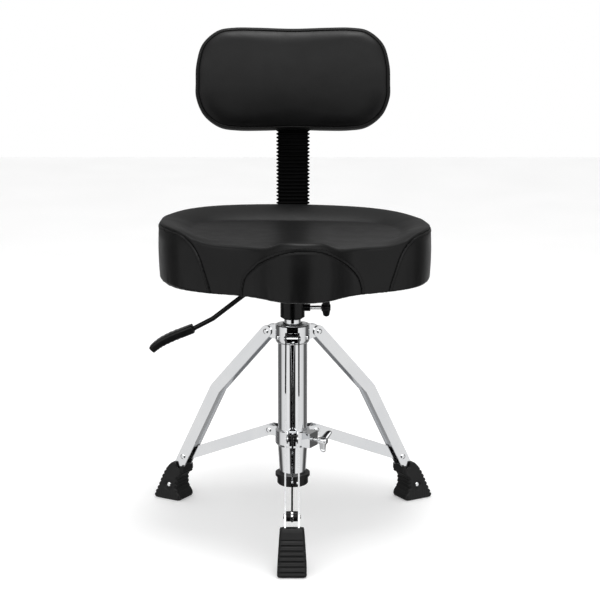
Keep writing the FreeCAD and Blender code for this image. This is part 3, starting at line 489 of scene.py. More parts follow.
def inflate(points, faces, pinned, cap):
    """How far a pad's cover moves when its filling presses it out.

    Returns a function that gives the move at any points. `pinned` says, for points of the
    remeshed cover, how firmly each is held, from 0 to 1."""
    mesh = bpy.data.meshes.new("inflating")
    mesh.from_pydata((points * MM).tolist(), [], faces)
    body = bpy.data.objects.new("inflating", mesh)
    bpy.context.scene.collection.objects.link(body)
    remesh = body.modifiers.new("remesh", "REMESH")
    remesh.mode = "VOXEL"
    remesh.voxel_size = CLOTH_VOXEL * MM
    scene = bpy.context.scene
    shape = bpy.data.meshes.new_from_object(
        body.evaluated_get(bpy.context.evaluated_depsgraph_get()))
    body.modifiers.clear()
    body.data = shape
    rest = np.array([v.co for v in shape.vertices], float) / MM
    hold = body.vertex_groups.new(name="hold")
    for index, weight in enumerate(pinned(rest)):
        hold.add([index], float(weight), "REPLACE")
    cloth = body.modifiers.new("cloth", "CLOTH")
    leather = {"quality": 6, "mass": 0.3, "tension_stiffness": 12, "compression_stiffness": 12,
               "shear_stiffness": 4, "bending_stiffness": 0.6, "use_pressure": True,
               "uniform_pressure_force": CLOTH_PRESSURE, "vertex_group_mass": "hold",
               "pin_stiffness": 1.0}
    for key, value in leather.items():
        setattr(cloth.settings, key, value)
    cloth.settings.effector_weights.gravity = 0
    cloth.collision_settings.use_collision = False
    cloth.point_cache.frame_start = 1
    cloth.point_cache.frame_end = CLOTH_FRAMES
    for number in range(1, CLOTH_FRAMES + 1):
        scene.frame_set(number)
    puffed = body.evaluated_get(bpy.context.evaluated_depsgraph_get())
    moved = np.array([v.co for v in puffed.data.vertices], float) / MM
    shift = moved - rest
    length = np.linalg.norm(shift, axis=1, keepdims=True)
    shift *= np.minimum(1, cap / np.maximum(length, 1e-9))
    bpy.data.objects.remove(body)
    scene.frame_set(1)
    tree = nearest_tree(rest)

    def move(places):
        out = np.zeros_like(places)
        for index, place in enumerate(places):
            near = tree.find_n(place, 6)
            weights = np.array([1 / (distance + 0.5) for _, _, distance in near])
            weights /= weights.sum()
            out[index] = weights @ shift[[k for _, k, _ in near]]
        return out

    return move


def relax(grid, passes, rows=slice(None), strength=0.5):
    """Evens out a grid of rings, leaving its first and last row alone."""
    for _ in range(passes):
        mean = (np.roll(grid, 1, axis=1) + np.roll(grid, -1, axis=1)) / 4
        mean[1:-1] += (grid[:-2] + grid[2:]) / 4
        mean[0] *= 2
        mean[-1] *= 2
        part = grid[rows].copy()
        grid[rows] = part + strength * (mean[rows] - part)
    return grid


def distance_to(line, places):
    """Distance from each place to a dense line, and the index of its nearest point."""
    tree = nearest_tree(line)
    found = [tree.find(place) for place in places]
    return np.array([f[2] for f in found]), np.array([f[1] for f in found])


def carve_seams(grid, normals, seams):
    """Presses each seam into the surface, with the cover pulled in beside it."""
    places = grid.reshape(-1, 3)
    push = np.zeros(len(places))
    for line, depth in seams:
        distance, index = distance_to(line, places)
        along = index * np.linalg.norm(line[1] - line[0])
        gather = 0.5 + 0.5 * np.sin(along * 2 * math.pi / 8.5 + 1.3 * np.sin(along / 23.0))
        push -= depth * np.exp(-(distance / 1.15) ** 2)
        push += 0.42 * np.exp(-((distance - 3.6) / 2.2) ** 2)
        push -= 0.22 * gather * np.exp(-((distance - 2.6) / 2.0) ** 2)
    return grid + push.reshape(grid.shape[:2] + (1,)) * normals


def offset_line(line, surface, distance):
    """The line moved sideways over a surface, then laid back onto it."""
    tangent = unit(np.gradient(line, axis=0))
    out = []
    for place, direction in zip(line, tangent):
        _, normal, _, _ = surface.find_nearest(Vector(place))
        side = np.cross(np.array(normal), direction)
        hit, _, _, _ = surface.find_nearest(Vector(place + distance * side))
        out.append(hit)
    return np.array(out, float)


STITCH_LENGTH = 3.3
STITCH_GAP = 1.3
STITCH_THICK = 0.36
FOLD_THICK = 0.62
THREAD_SIDES = 6


def round_ring(middle, size, side, normal):
    """Points of a circle round `middle`, in the plane of `side` and `normal`."""
    return [middle + size * (math.cos(a) * side + math.sin(a) * normal)
            for a in np.linspace(0, 2 * math.pi, THREAD_SIDES, endpoint=False)]


def stitch_row(line, surface):
    """One row of thread stitches lying on a surface, each a shell that arches up and back."""
    total = np.linalg.norm(np.diff(line, axis=0), axis=1).sum()
    count = int(total / (STITCH_LENGTH + STITCH_GAP))
    marks, sewn, rings = 8, 6, 5
    path = resample(line, count * marks, closed=False)
    arch = np.sin(np.linspace(0, math.pi, rings))
    stitches = []
    for k in range(count):
        centre = resample(path[k * marks:k * marks + sewn], rings, closed=False)
        _, normal, _, _ = surface.find_nearest(Vector(centre[rings // 2]))
        normal = np.array(normal)
        side = np.cross(normal, unit(centre[-1] - centre[0]))
        stitches.append(tube([round_ring(place + normal * (0.42 * up - 0.12),
                                         STITCH_THICK * (0.45 + 0.55 * up), side, normal)
                              for place, up in zip(centre, arch)]))
    return joined(stitches)


def seam_fold_painted_shade(line, surface):
    """The doubled edge in the bottom of a seam, given the thread's darker colour as painted shade
    in the groove.
    """
    laid = []
    for place in resample(line, max(8, int(len(line) / 2)), closed=False):
        hit, normal, _, _ = surface.find_nearest(Vector(place))
        laid.append(np.array(hit) + 0.12 * np.array(normal))
    rings = []
    for place, direction in zip(laid, unit(np.gradient(np.array(laid), axis=0))):
        _, normal, _, _ = surface.find_nearest(Vector(place))
        normal = np.array(normal)
        rings.append(round_ring(place, FOLD_THICK, unit(np.cross(normal, direction)), normal))
    return tube(rings)


def stitching(name, body, seams, surface):
    """The folds and thread of some seams, each (line, how far beside it the thread runs). The folds
    take the thread's dark colour, painted shade in the bottom of each seam.
    """
    folds = [seam_fold_painted_shade(line, surface) for line, _ in seams]
    threads = [stitch_row(offset_line(line, surface, beside), surface) for line, beside in seams]
    points, faces = joined(folds + threads)
    # the folds share the thread's material, a darker colour than the leather that paints shade into
    # each seam
    make_mesh(name, points, faces, body, "leather", [THREAD])


# ---------------------------------------------------------------- the saddle

CUSHION_TURN = math.radians(3.3)
CUSHION_ROLL = math.radians(1.1)
CUSHION_SHIFT = 7.0
CUSHION_LOW = 416.6
HEART = np.array([0.0, 20.0])
SADDLE_COLUMNS = 760
SADDLE_TOP_ROWS = 74
EDGE_ROWS = 9
LOW_RADIUS = 5.5
WALL_BULGE = 1.4
UNDER_INSETS = (11, 15, 20)
BOARD_LOW = 419.6
BOARD_HIGH = 428.5

# x, y, height of the crest, radius of the rounded edge, width of the bolster
OUTLINE = [
    (0, -190.5, 511.5, 8, 84), (21, -187.5, 511.5, 8, 82), (38, -179, 510.5, 8, 78),
    (53, -164.5, 502, 7, 60), (68, -147, 497, 6, 46), (84, -131.5, 495.5, 6, 42),
    (104, -118.5, 495, 6, 42), (124, -109, 495, 6, 40), (147, -98, 495.5, 6, 40),
    (174, -80, 501, 6.5, 40), (199, -55, 509, 7, 44), (217, -20, 512, 7, 48),
    (228.5, 25, 512, 7, 52), (229, 60, 512.5, 8, 56), (221, 104, 514, 9, 62),
    (183, 156, 518.5, 11, 68), (114, 184, 522, 12, 70), (0, 193.5, 523.5, 12, 72),
]


def saddle_loop(count):
    """The full outline, counterclockwise from the nose, from its right-hand half."""
    left = [(-row[0], *row[1:]) for row in reversed(OUTLINE[1:-1])]
    return resample(catmull(OUTLINE + left, closed=True), count, closed=True, axes=2)


def saddle_top(places, crest, width, distance):
    """Height of the top: a floor that falls to the thighs, ringed by a raised bolster."""
    x, y = places[:, 0], places[:, 1]
    floor = 499.3 + 0.024 * np.maximum(y, 0) + 0.034 * np.minimum(y, 0)
    floor -= 2.8 * np.exp(-((np.abs(x) - 92) / 52) ** 2 - ((y + 18) / 66) ** 2)
    floor -= 1.5 * np.exp(-(x / 110) ** 2 - ((y - 60) / 60) ** 2)
    t = np.clip((distance / width - 0.24) / 0.76, 0, 1)
    rise = np.clip(1 - t ** 1.55, 0, 1)
    return floor + (crest - floor) * rise


def make_saddle_grid():
    """Rings from the middle of the top, out over the edge, down the wall and under."""
    loop = saddle_loop(SADDLE_COLUMNS)
    edge, crest, radius, width = loop[:, :2], loop[:, 2], loop[:, 3], loop[:, 4]
    inward = inward_of(edge)

    shoulder = edge + inward * radius[:, None]
    shares = 1 - np.linspace(0.98, 0, SADDLE_TOP_ROWS) ** 1.25
    rows = []
    for share in shares:
        at = HEART + share * (shoulder - HEART)
        gap = np.linalg.norm(at[:, None] - edge[None], axis=2)
        near = gap.min(1)
        # the nearest stretch of the outline says how high and wide the bolster is here
        soft = np.exp(-(gap - near[:, None]) / 5.0)
        soft /= soft.sum(1, keepdims=True)
        rim = saddle_top(at, soft @ crest, soft @ width, near)
        rows.append(level_ring(at, rim))
    for a in np.linspace(0, math.pi / 2, EDGE_ROWS + 1)[1:]:
        at = edge + inward * (radius * (1 - math.sin(a)))[:, None]
        rows.append(level_ring(at, rim - radius * (1 - math.cos(a))))
    high = rim - radius
    for t in np.linspace(0, 1, 52)[1:]:
        bulge = WALL_BULGE * math.sin(math.pi * t) - 0.4 * t
        rows.append(level_ring(edge - inward * bulge, high + (CUSHION_LOW + LOW_RADIUS - high) * t))
    for a in np.linspace(0, math.pi / 2, 8)[1:]:
        at = edge + inward * (0.4 + LOW_RADIUS * (1 - math.cos(a)))
        rows.append(level_ring(at, CUSHION_LOW + LOW_RADIUS * (1 - math.sin(a))))
    for inset in UNDER_INSETS:
        rows.append(level_ring(edge + inward * inset, CUSHION_LOW))
    return np.array(rows)


def saddle_to_frame(points):
    """From the cushion's own frame to the part's frame."""
    out = np.array(points, float)
    lift = smoothstep(out[..., 2], CUSHION_LOW, CUSHION_LOW + 60)
    rolled = out[..., 2] > CUSHION_LOW + 0.5
    out[..., 2] -= math.sin(CUSHION_ROLL) * out[..., 0] * (0.35 + 0.65 * lift) * rolled
    out = turned(out, CUSHION_TURN)
    out[..., 0] += CUSHION_SHIFT
    return out


# x and y along the outline with the height of the seam there
SIDE_SEAM = [(144, -99.5, 417.5), (147, -98, 431), (153, -94, 451), (161, -89, 472),
             (171, -82, 489), (184, -71, 501), (198, -56, 506.5), (209, -37, 508),
             (217, -20, 508.5)]
NOSE_SEAM = [(97, -122.5, 417.5), (95.5, -123.5, 430), (90, -127, 447), (80, -135.5, 461),
             (67, -148, 474), (52, -165.5, 485), (36, -180, 494), (19, -188, 498.5),
             (0, -190.5, 499.5)]
NOSE_SEAM_SHIFT = 3.0
REAR_SEAM_DROP = 4.2


def on_wall(grid, column, z):
    """The point of the saddle's side at a height, between two columns of the grid."""
    low = int(math.floor(column))
    share = column - low
    out = 0
    for index, weight in ((low, 1 - share), (low + 1, share)):
        side = grid[SADDLE_TOP_ROWS - 2:, index % SADDLE_COLUMNS]
        upward = side[:int(np.argmin(side[:, 2])) + 1][::-1]
        out = out + weight * np.array([np.interp(z, upward[:, 2], upward[:, k]) for k in range(3)])
    return out


def trace(grid, stops):
    """A smooth line on the saddle's side through places given as (x, y, height)."""
    edge = grid[SADDLE_TOP_ROWS + 20]
    spots = np.array([(np.argmin(np.hypot(edge[:, 0] - x, edge[:, 1] - y)), z)
                      for x, y, z in stops], float)
    turns = np.cumsum(np.concatenate([[0], np.round(-np.diff(spots[:, 0]) / SADDLE_COLUMNS)]))
    spots[:, 0] += turns * SADDLE_COLUMNS
    line = catmull(spots, closed=False, steps=24)
    return np.array([on_wall(grid, column, z) for column, z in line])


def saddle_seams(grid):
    rear = [(x, y, crest - REAR_SEAM_DROP) for x, y, crest, _, _ in OUTLINE[12:]]
    right = SIDE_SEAM + rear
    left = [(-x, y, z) for x, y, z in reversed(right[:-1])]
    side = resample(trace(grid, right + left), 1500, closed=False)
    nose_left = [(-x, y, z) for x, y, z in reversed(NOSE_SEAM[:-1])]
    arch = [(x + NOSE_SEAM_SHIFT, y, z) for x, y, z in NOSE_SEAM + nose_left]
    return side, resample(trace(grid, arch), 620, closed=False)


def coarser(grid):
    """Points and faces of a grid with fewer rings and columns, closed at both ends."""
    return capped_grid(np.concatenate([grid[::2, ::4], grid[-1:, ::4]]))


def puffed_saddle(grid):
    """The saddle pressed out by its filling, held at its seams and under its lower edge."""
    side, nose = saddle_seams(grid)

    def pinned(places):
        on_side, _ = distance_to(side[::3], places)
        on_nose, _ = distance_to(nose[::3], places)
        hold = 1 - smoothstep(np.minimum(on_side, on_nose), 3, 11)
        hold = np.maximum(hold, 1 - smoothstep(places[:, 2], 420, 434))
        return np.maximum(hold, 0.25)

    move = inflate(*coarser(grid), pinned, cap=5.0)
    shift = relax(move(grid.reshape(-1, 3)).reshape(grid.shape), 10, slice(1, -1))
    dish = smoothstep(grid[..., 2], 470, 505)[..., None]
    return grid + shift * (1 - 0.55 * dish)


def make_saddle():
    grid = relax(make_saddle_grid(), 2, slice(1, SADDLE_TOP_ROWS + 16))
    grid = puffed_saddle(grid)
    side, nose = saddle_seams(grid)
    normals = grid_normals(grid)
    grid = carve_seams(grid, normals, [(side, 1.7), (nose, 1.6)])

    # small folds where the cover is pulled under the board, as (how many, where they start)
    lower = smoothstep(grid[..., 2], 446, 419)
    around = np.linspace(0, 1, SADDLE_COLUMNS, endpoint=False)
    folds = sum(np.sin(2 * math.pi * (count * around + start)) for count, start in
                ((41, 0.1), (67, 0.45), (97, 0.8)))
    grid = grid + normals * (0.07 * lower * folds)[..., None]

    points, faces = capped_grid(saddle_to_frame(grid))
    piece = make_mesh("seat_saddle", points, faces, "seat", "leather",
                      [MATERIALS["leather"], LINING])
    # the lining is the flat middle of the underside, inside the last ring but one
    lined = (len(grid) - 2) * SADDLE_COLUMNS
    piece.data.polygons.foreach_set("material_index", [int(min(f) >= lined) for f in faces])
    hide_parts("seat_cover", "seat_foam")

    surface = BVHTree.FromPolygons([Vector(p) for p in points], faces)
    seams = [(saddle_to_frame(side), -5.8), (saddle_to_frame(nose), -5.2)]
    stitching("seat_stitching", "seat", seams, surface)


make_saddle()


def make_board():
    """The plywood under the foam, set in from the cover's rounded lower edge."""
    edge = saddle_loop(180)[:, :2]
    inward = inward_of(edge)
    middle = HEART + (edge - HEART) * 0.5
    rim = [(11, BOARD_HIGH), (10, BOARD_HIGH - 1), (10, BOARD_LOW + 1), (11, BOARD_LOW)]
    rows = [level_ring(edge + inward * inset, z) for inset, z in rim]
    rows = [level_ring(middle, BOARD_HIGH), *rows, level_ring(middle, BOARD_LOW)]
    points, faces = capped_grid(saddle_to_frame(np.array(rows)))
    piece = make_mesh("seat_base_board", points, faces, "seat", "plywood",
                      smooth=False)
    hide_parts("seat_board")


make_board()


# ---------------------------------------------------------------- the backrest pad

BAR_LEAN = math.radians(8)
BAR_FOOT = np.array([0.0, 207.33, 426.26])
BAR_BACK = np.array([0.0, math.cos(BAR_LEAN), -math.sin(BAR_LEAN)])
BAR_UP = np.array([0.0, math.sin(BAR_LEAN), math.cos(BAR_LEAN)])


def bar_to_frame(points):
    """From the backrest bar's own frame (across, back, up) to the part's frame."""
    p = np.asarray(points, float)
    across = np.array([1.0, 0.0, 0.0])
    return BAR_FOOT + p[..., :1] * across + p[..., 1:2] * BAR_BACK + p[..., 2:3] * BAR_UP


PAD_CENTRE = 315.0
PAD_WIDE = 345.0
PAD_HIGH = 183.0
PAD_FRONT = -51.65
PAD_REAR = -9.4
PAD_BOW = 820.0
PAD_COLUMNS = 560
PAD_FRONT_ROWS = 64
PAD_SIDE_ROWS = 25
PAD_SEAM_INSET = 6.5
PAD_SEAM_BACK = 17.0


def pad_outline(columns):
    """Counterclockwise seen from the front: right in x, up in z."""
    half_w, half_h = PAD_WIDE / 2, PAD_HIGH / 2
    rows = [(half_w, -8), (half_w - 1.5, 25), (half_w - 12, 60), (half_w - 38, 84),
            (half_w - 68, 90.5), (half_w - 110, 91), (0, 89.5)]
    low = [(half_w - 1, -35), (half_w - 14, -65), (half_w - 41, -86), (half_w - 74, -91.5),
           (half_w - 120, -91.5), (0, -90)]
    right = list(reversed(low)) + rows
    left = [(-x, z) for x, z in reversed(right[1:-1])]
    loop = catmull(right + left, closed=True)
    return resample(loop, columns, closed=True, axes=2)


def pad_to_frame(points):
    """From the flat pad, centred on its middle, to the bowed pad on the bar."""
    p = np.array(points, float)
    p[..., 1] -= p[..., 0] ** 2 / (2 * PAD_BOW)
    p[..., 2] += PAD_CENTRE
    return bar_to_frame(p)


def pad_ring(outline, y):
    """An outline in x and z as one ring at a depth, which is a number or one for each point."""
    return np.column_stack([outline[:, 0], np.broadcast_to(y, len(outline)), outline[:, 1]])


def make_pad_board():
    """The bowed plywood inside the rear of the pad."""
    edge = pad_outline(160)
    rows = [pad_ring(edge * share, PAD_REAR + y) for share, y in
            ((0.5, -10.5), (0.90, -10.5), (0.905, -10), (0.905, -3), (0.90, -2.5), (0.5, -2.5))]
    points, faces = capped_grid(pad_to_frame(np.array(rows)))
    piece = make_mesh("backrest_board", points, faces, "backrest_pad", "plywood",
                      smooth=False)
    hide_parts("pad_board")


def make_pad_grid():
    """Rings from the middle of the front, out to the seam, back round the side and in."""
    edge = pad_outline(PAD_COLUMNS)
    inward = inward_of(edge)
    shoulder = edge + inward * PAD_SEAM_INSET
    rows = []
    for t in np.linspace(0.02, 1, PAD_FRONT_ROWS) ** 0.85:
        at = shoulder * t
        roll = np.clip(np.linalg.norm(shoulder - at, axis=1) / 34, 0, 1)
        edge_drop = (PAD_SEAM_BACK - 5.5) * (1 - np.sqrt(1 - (1 - roll) ** 2.3))
        crown = 4.0 * t ** 2.2 + 7.0 * (at[:, 1] / (PAD_HIGH / 2)) ** 2
        rows.append(pad_ring(at, PAD_FRONT + edge_drop + crown))
    seam_y, back_y = PAD_FRONT + PAD_SEAM_BACK, PAD_REAR - 2.5
    for t in np.linspace(0, 1, PAD_SIDE_ROWS + 1)[1:]:
        out = PAD_SEAM_INSET * (1 - math.sin(math.pi * min(t * 0.62 + 0.02, 1)) ** 0.8)
        at = edge + inward * out
        rows.append(pad_ring(at, seam_y + (back_y - seam_y) * t))
    for t in np.linspace(1, 0.03, 22)[1:]:
        rows.append(pad_ring(at * t, back_y + 2.5 * min(1, (1 - t) * 9)))
    return np.array(rows)


def puffed_pad(grid, seam_row):
    """The pad pressed out by its filling, held at its seam and against its board."""
    line = np.vstack([grid[seam_row], grid[seam_row + PAD_SIDE_ROWS]])

    def pinned(places):
        near, _ = distance_to(line[::3], places)
        hold = 1 - smoothstep(near, 2, 9)
        rear = smoothstep(places[:, 1], PAD_REAR - 7, PAD_REAR - 3)
        return np.maximum(np.maximum(hold, rear), 0.2)

    move = inflate(*coarser(grid), pinned, cap=4.0)
    shift = move(grid.reshape(-1, 3)).reshape(grid.shape)
    return grid + 0.8 * relax(shift, 8, slice(1, -1))


def make_pad():
    seam_row = PAD_FRONT_ROWS - 1
    grid = relax(make_pad_grid(), 5, slice(1, seam_row - 1))
    grid = puffed_pad(grid, seam_row)
    seam = resample(np.vstack([grid[seam_row], grid[seam_row][:1]]), 1500, closed=False)
    grid = carve_seams(grid, grid_normals(grid), [(seam, 1.5)])

    points, faces = capped_grid(pad_to_frame(grid))
    piece = make_mesh("backrest_cushion", points, faces, "backrest_pad", "leather")
    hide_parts("pad_cover", "pad_foam")
    surface = BVHTree.FromPolygons([Vector(p) for p in points], faces)
    stitching("backrest_stitching", "backrest_pad", [(pad_to_frame(seam), 4.2)], surface)


make_pad()
make_pad_board()


# ---------------------------------------------------------------- the bellows

BELLOWS_LOW, BELLOWS_HIGH = 4.0, 232.0
FOLDS = 35
FOLD_SIDES = 96
# how far along a fold, and how far out from its valley to its crest
FOLD_PROFILE = [(0.00, 1.0), (0.14, 0.9), (0.30, 0.35), (0.42, 0.05), (0.50, 0.0), (0.58, 0.05),
                (0.70, 0.35), (0.86, 0.9)]


def make_bellows():
    """A folded sleeve round the bar, about 6.5 mm a fold."""
    pitch = (BELLOWS_HIGH - BELLOWS_LOW) / FOLDS
    outer = rounded_section(30.2, 9.0, 5.5, FOLD_SIDES)
    inner = rounded_section(26.6, 6.2, 2.6, FOLD_SIDES)

    def fold_ring(fold, share, out):
        wave = 0.35 * math.sin(fold * 1.7) + 0.2 * math.sin(fold * 0.61)
        ring = (inner + (outer - inner) * out) * (1 + 0.006 * wave * out)
        return level_ring(ring, BELLOWS_LOW + (fold + share) * pitch)

    rows = [fold_ring(fold, share, out) for fold in range(FOLDS) for share, out in FOLD_PROFILE]
    rows.append(fold_ring(FOLDS, *FOLD_PROFILE[0]))
    rows = [rows[0] * (0.93, 0.93, 1), *rows, rows[-1] * (0.93, 0.93, 1)]
    points, faces = capped_grid(bar_to_frame(np.array(rows)[::-1]))
    piece = make_mesh("backrest_bellows", points, faces, "backrest_bar", "rubber",
                      [BELLOWS_RUBBER])
    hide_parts("bellows")
    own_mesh(piece)


make_bellows()


# ---------------------------------------------------------------- rubber feet

# height with the outer face's reach, the inner face's reach or half the width there
FOOT_OUTER = [(0, 273.2), (1.2, 275.6), (4, 277.0), (8, 276.4), (23, 269.0), (40.6, 261.8),
              (54, 255.0), (64, 246.5), (68, 242.0), (69, 239.5)]
FOOT_INNER = [(0, 224.0), (1.2, 221.8), (4, 221.0), (9, 221.5), (14, 224.5), (22, 228.5),
              (36, 228.0), (43, 226.5), (49, 219.5), (53, 217.8), (60, 217.2), (67, 217.2),
              (69, 218.5)]
FOOT_HALF = [(0, 20.8), (1.2, 22.4), (4, 23.3), (12, 23.0), (40, 21.2), (60, 19.8), (67, 19.4),
             (69, 18.4)]
FOOT_GROOVES = (8.5, 16.0, 23.5, 31.0, 38.5, 46.0, 53.5)
FOOT_HIGH = 69.0
FOOT_STEP = 0.75
FOOT_SCREW_REACH, FOOT_SCREW_HEIGHT = 246, 27
FLUTE_PITCH = 5.0
# inset and drop of the rings that go down into the mouth
FOOT_MOUTH = ((0.72, 0.3), (0.68, 3.0), (0.66, 7.0))


def profile_at(rows, z):
    heights, values = zip(*rows)
    return float(np.interp(z, heights, values))


def foot_ring(z):
    """The boot's section at one height, with its ribs, flutes and the recess of its screw."""
    outer, inner = profile_at(FOOT_OUTER, z), profile_at(FOOT_INNER, z)
    half = profile_at(FOOT_HALF, z)
    middle, reach = (outer + inner) / 2, (outer - inner) / 2
    ring = rounded_section(reach, half, min(5.0, half - 3, reach - 2), 144)
    normal = -inward_of(ring)
    front = smoothstep(normal[:, 0], 0.05, 0.7)
    back = smoothstep(-normal[:, 0], 0.2, 0.7) * smoothstep(z, 12, 20)
    cut = sum(math.exp(-((z - groove) / 1.25) ** 2) for groove in FOOT_GROOVES)
    side = smoothstep(np.abs(normal[:, 1]), 0.8, 0.98)
    low = smoothstep(z, 20, 16) * smoothstep(z, 2, 5)
    flutes = 0.5 + 0.5 * np.cos(ring[:, 0] * 2 * math.pi / FLUTE_PITCH)
    gap = np.hypot(ring[:, 0] + middle - FOOT_SCREW_REACH, z - FOOT_SCREW_HEIGHT)
    recess = 1.1 * np.exp(-((gap - 8.6) / 1.1) ** 2) + 2.6 * (1 - smoothstep(gap, 5.6, 6.6))
    depth = (2.5 * front + 2.0 * back) * cut + side * (0.7 * low * flutes + recess)
    ring = ring - normal * depth[:, None]
    # the mouth dips along both flat sides, and its inner lip is lower than its outer one
    across, along = np.abs(ring[:, 1]), ring[:, 0] / reach
    dip = (8.5 * smoothstep(across, half * 0.55, half * 0.9)
           * (1 - smoothstep(np.abs(along + 0.12), 0.28, 0.62))
           + 5.0 * smoothstep(-along, -0.1, 0.85))
    return level_ring(ring + (middle, 0), z - dip * smoothstep(z, 40, FOOT_HIGH))


def make_foot(leg, azimuth):
    heights = [0, 0.5, 1.2, 2.4, *np.arange(4, FOOT_HIGH, FOOT_STEP), FOOT_HIGH]
    rows = [foot_ring(z) for z in heights]
    mouth = rows[-1]
    middle = mouth[:, 0].mean()
    for inset, drop in FOOT_MOUTH:
        rows.append(np.column_stack([middle + (mouth[:, 0] - middle) * inset,
                                     mouth[:, 1] * (inset + 0.08), mouth[:, 2] - drop]))
    points, faces = capped_grid(turned(np.array(rows)[::-1], math.radians(azimuth)))
    piece = make_mesh(leg + "_boot", points, faces, leg + "_leg", "rubber")
    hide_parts(leg + "_foot")


for leg, azimuth in LEG_AZIMUTHS.items():
    make_foot(leg, azimuth)


# ---------------------------------------------------------------- lever grip

GRIP_PATH = [(-167, 0, 337.4), (-182, 0, 331.5), (-202, 0, 323.5), (-220, 0, 314.5),
             (-232, 0, 306), (-238.5, 0, 299.5)]
GRIP_RIBS = 12


def make_grip():
    """A flat moulded paddle over the end of the bent lever."""
    path = catmull(GRIP_PATH, closed=False, steps=14)
    sections = []
    for t in np.linspace(0, 1, len(path)):
        end = min(1.0, 0.86 + 12 * t)
        tip = math.sqrt(max(0.0, 1 - max(0.0, (t - 0.92) / 0.08) ** 2))
        half_wide = (10.4 + 1.4 * math.sin(math.pi * t)) * end * (0.45 + 0.55 * tip)
        half_high = (7.3 - 1.9 * max(0.0, t - 0.45)) * end * (0.5 + 0.5 * tip)
        held = smoothstep(t, 0.22, 0.3) * smoothstep(t, 0.84, 0.76)
        ribs = 0.28 * math.cos(t * 2 * math.pi * GRIP_RIBS) * held
        sections.append(rounded_section(half_wide + 0.3 * ribs, half_high + ribs,
                                        half_high * 0.55, 48))
    points, faces = capped_grid(sweep(path, np.array(sections)))
    piece = make_mesh("lever_paddle", points, [face[::-1] for face in faces], "lever",
                      "black_plastic")
    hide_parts("lever_grip")


make_grip()


# ---------------------------------------------------------------- wing bolts

SEAT_WING_HEIGHT = 373
COLLAR_WING_HEIGHT = 149
COLLAR_WING_AZIMUTH = math.radians(-30)
COLLAR_WING_TURN = math.radians(-40)
# radius and distance along the axis
SEAT_WING_HUB = [(5.2, 48.6), (6.3, 49.4), (6.5, 52), (6.2, 60), (5.4, 63.2), (4.6, 64)]
COLLAR_WING_HUB = [(4.4, 50.6), (5.6, 51.4), (6.6, 54), (6.8, 62), (6.0, 65.4), (4.2, 67),
                   (3.6, 67.2)]


def turned_shell(rows, around):
    """A closed shell round the X axis from rows of (radius, distance along the axis)."""
    angle = np.linspace(0, 2 * math.pi, around, endpoint=False)
    grid = np.array([np.column_stack([np.full(around, along), radius * np.cos(angle),
                                      radius * np.sin(angle)]) for radius, along in rows])
    return capped_grid(grid[::-1])


def threaded_rows(radius, low, high, pitch):
    """A thread's outline, as rings that follow its crests and roots."""
    rows = [(radius - 0.6, low)]
    for k in range(int((high - low) / (pitch / 4)) + 1):
        cut = (0.0, 0.22, 0.45, 0.22)[k % 4]
        rows.append((radius - cut, low + 0.3 + k * pitch / 4))
    return rows


def wing_shell(middle, length, flare, wide, thick):
    """Two flat rounded wings on one line through the axis, each leaning out by `flare`.

    `wide` and `thick` are half sizes at the hub and at the tip."""
    rows = []
    for share in np.concatenate([-np.cos(np.linspace(0, math.pi / 2, 12, endpoint=False)),
                                 [0.0], np.sin(np.linspace(0, math.pi / 2, 13)[1:])]):
        out = abs(share)
        round_off = math.sqrt(max(0.02, 1 - max(0.0, (out - 0.78) / 0.22) ** 2.2))
        half_wide = (wide[0] + (wide[1] - wide[0]) * out ** 1.2) * round_off
        half_thick = (thick[0] + (thick[1] - thick[0]) * out ** 0.7) * (0.4 + 0.6 * round_off)
        ring = rounded_section(half_wide, half_thick, min(half_wide, half_thick) * 0.8, 40)
        rows.append(level_ring(ring + (middle + flare * out ** 1.4, 0), share * length))
    return capped_grid(np.array(rows)[::-1])


def make_wing_bolts():
    """Bolts built along +X, turned about their axis and pointed outward from the column."""
    grip = wing_shell(56.6, 15.4, 0.3, (7.4, 4.7), (5.4, 3.2))
    points, faces = joined([turned_shell(SEAT_WING_HUB, 48), grip])
    piece = make_mesh("seat_wing_grip", np.array(points) + (0, 0, SEAT_WING_HEIGHT), faces,
                      "seat_wing", "black_plastic")
    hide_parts("seat_wing_bolt")
    points, faces = turned_shell(threaded_rows(3.6, 16.0, 49.5, 1.5), 32)
    make_mesh("seat_wing_thread", points + (0, 0, SEAT_WING_HEIGHT), faces, "seat_wing",
              "chrome")

    wings = wing_shell(59.5, 20.0, 7.0, (6.4, 4.8), (5.2, 2.6))
    stem = turned_shell(threaded_rows(3.0, 26.5, 51.5, 1.25), 32)
    points, faces = joined([turned_shell(COLLAR_WING_HUB, 48), wings, stem])
    points = turned(turned(points, COLLAR_WING_TURN, 1, 2), COLLAR_WING_AZIMUTH)
    piece = make_mesh("collar_wing", points + (0, 0, COLLAR_WING_HEIGHT), faces, "collar_wing",
                      "chrome")
    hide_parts("collar_wing_bolt")


make_wing_bolts()


# ---------------------------------------------------------------- staples under the cushion

STAPLES = 64
STAPLE_INSET = 16.5
# along the staple's crown, and down from the underside
STAPLE_LINE = [(-5, 0.6), (-4.9, -0.35), (-4.3, -0.6), (4.3, -0.6), (4.9, -0.35), (5, 0.6)]
STAPLE_WIRE = [(0.5, 0.28), (-0.5, 0.28), (-0.5, -0.28), (0.5, -0.28)]


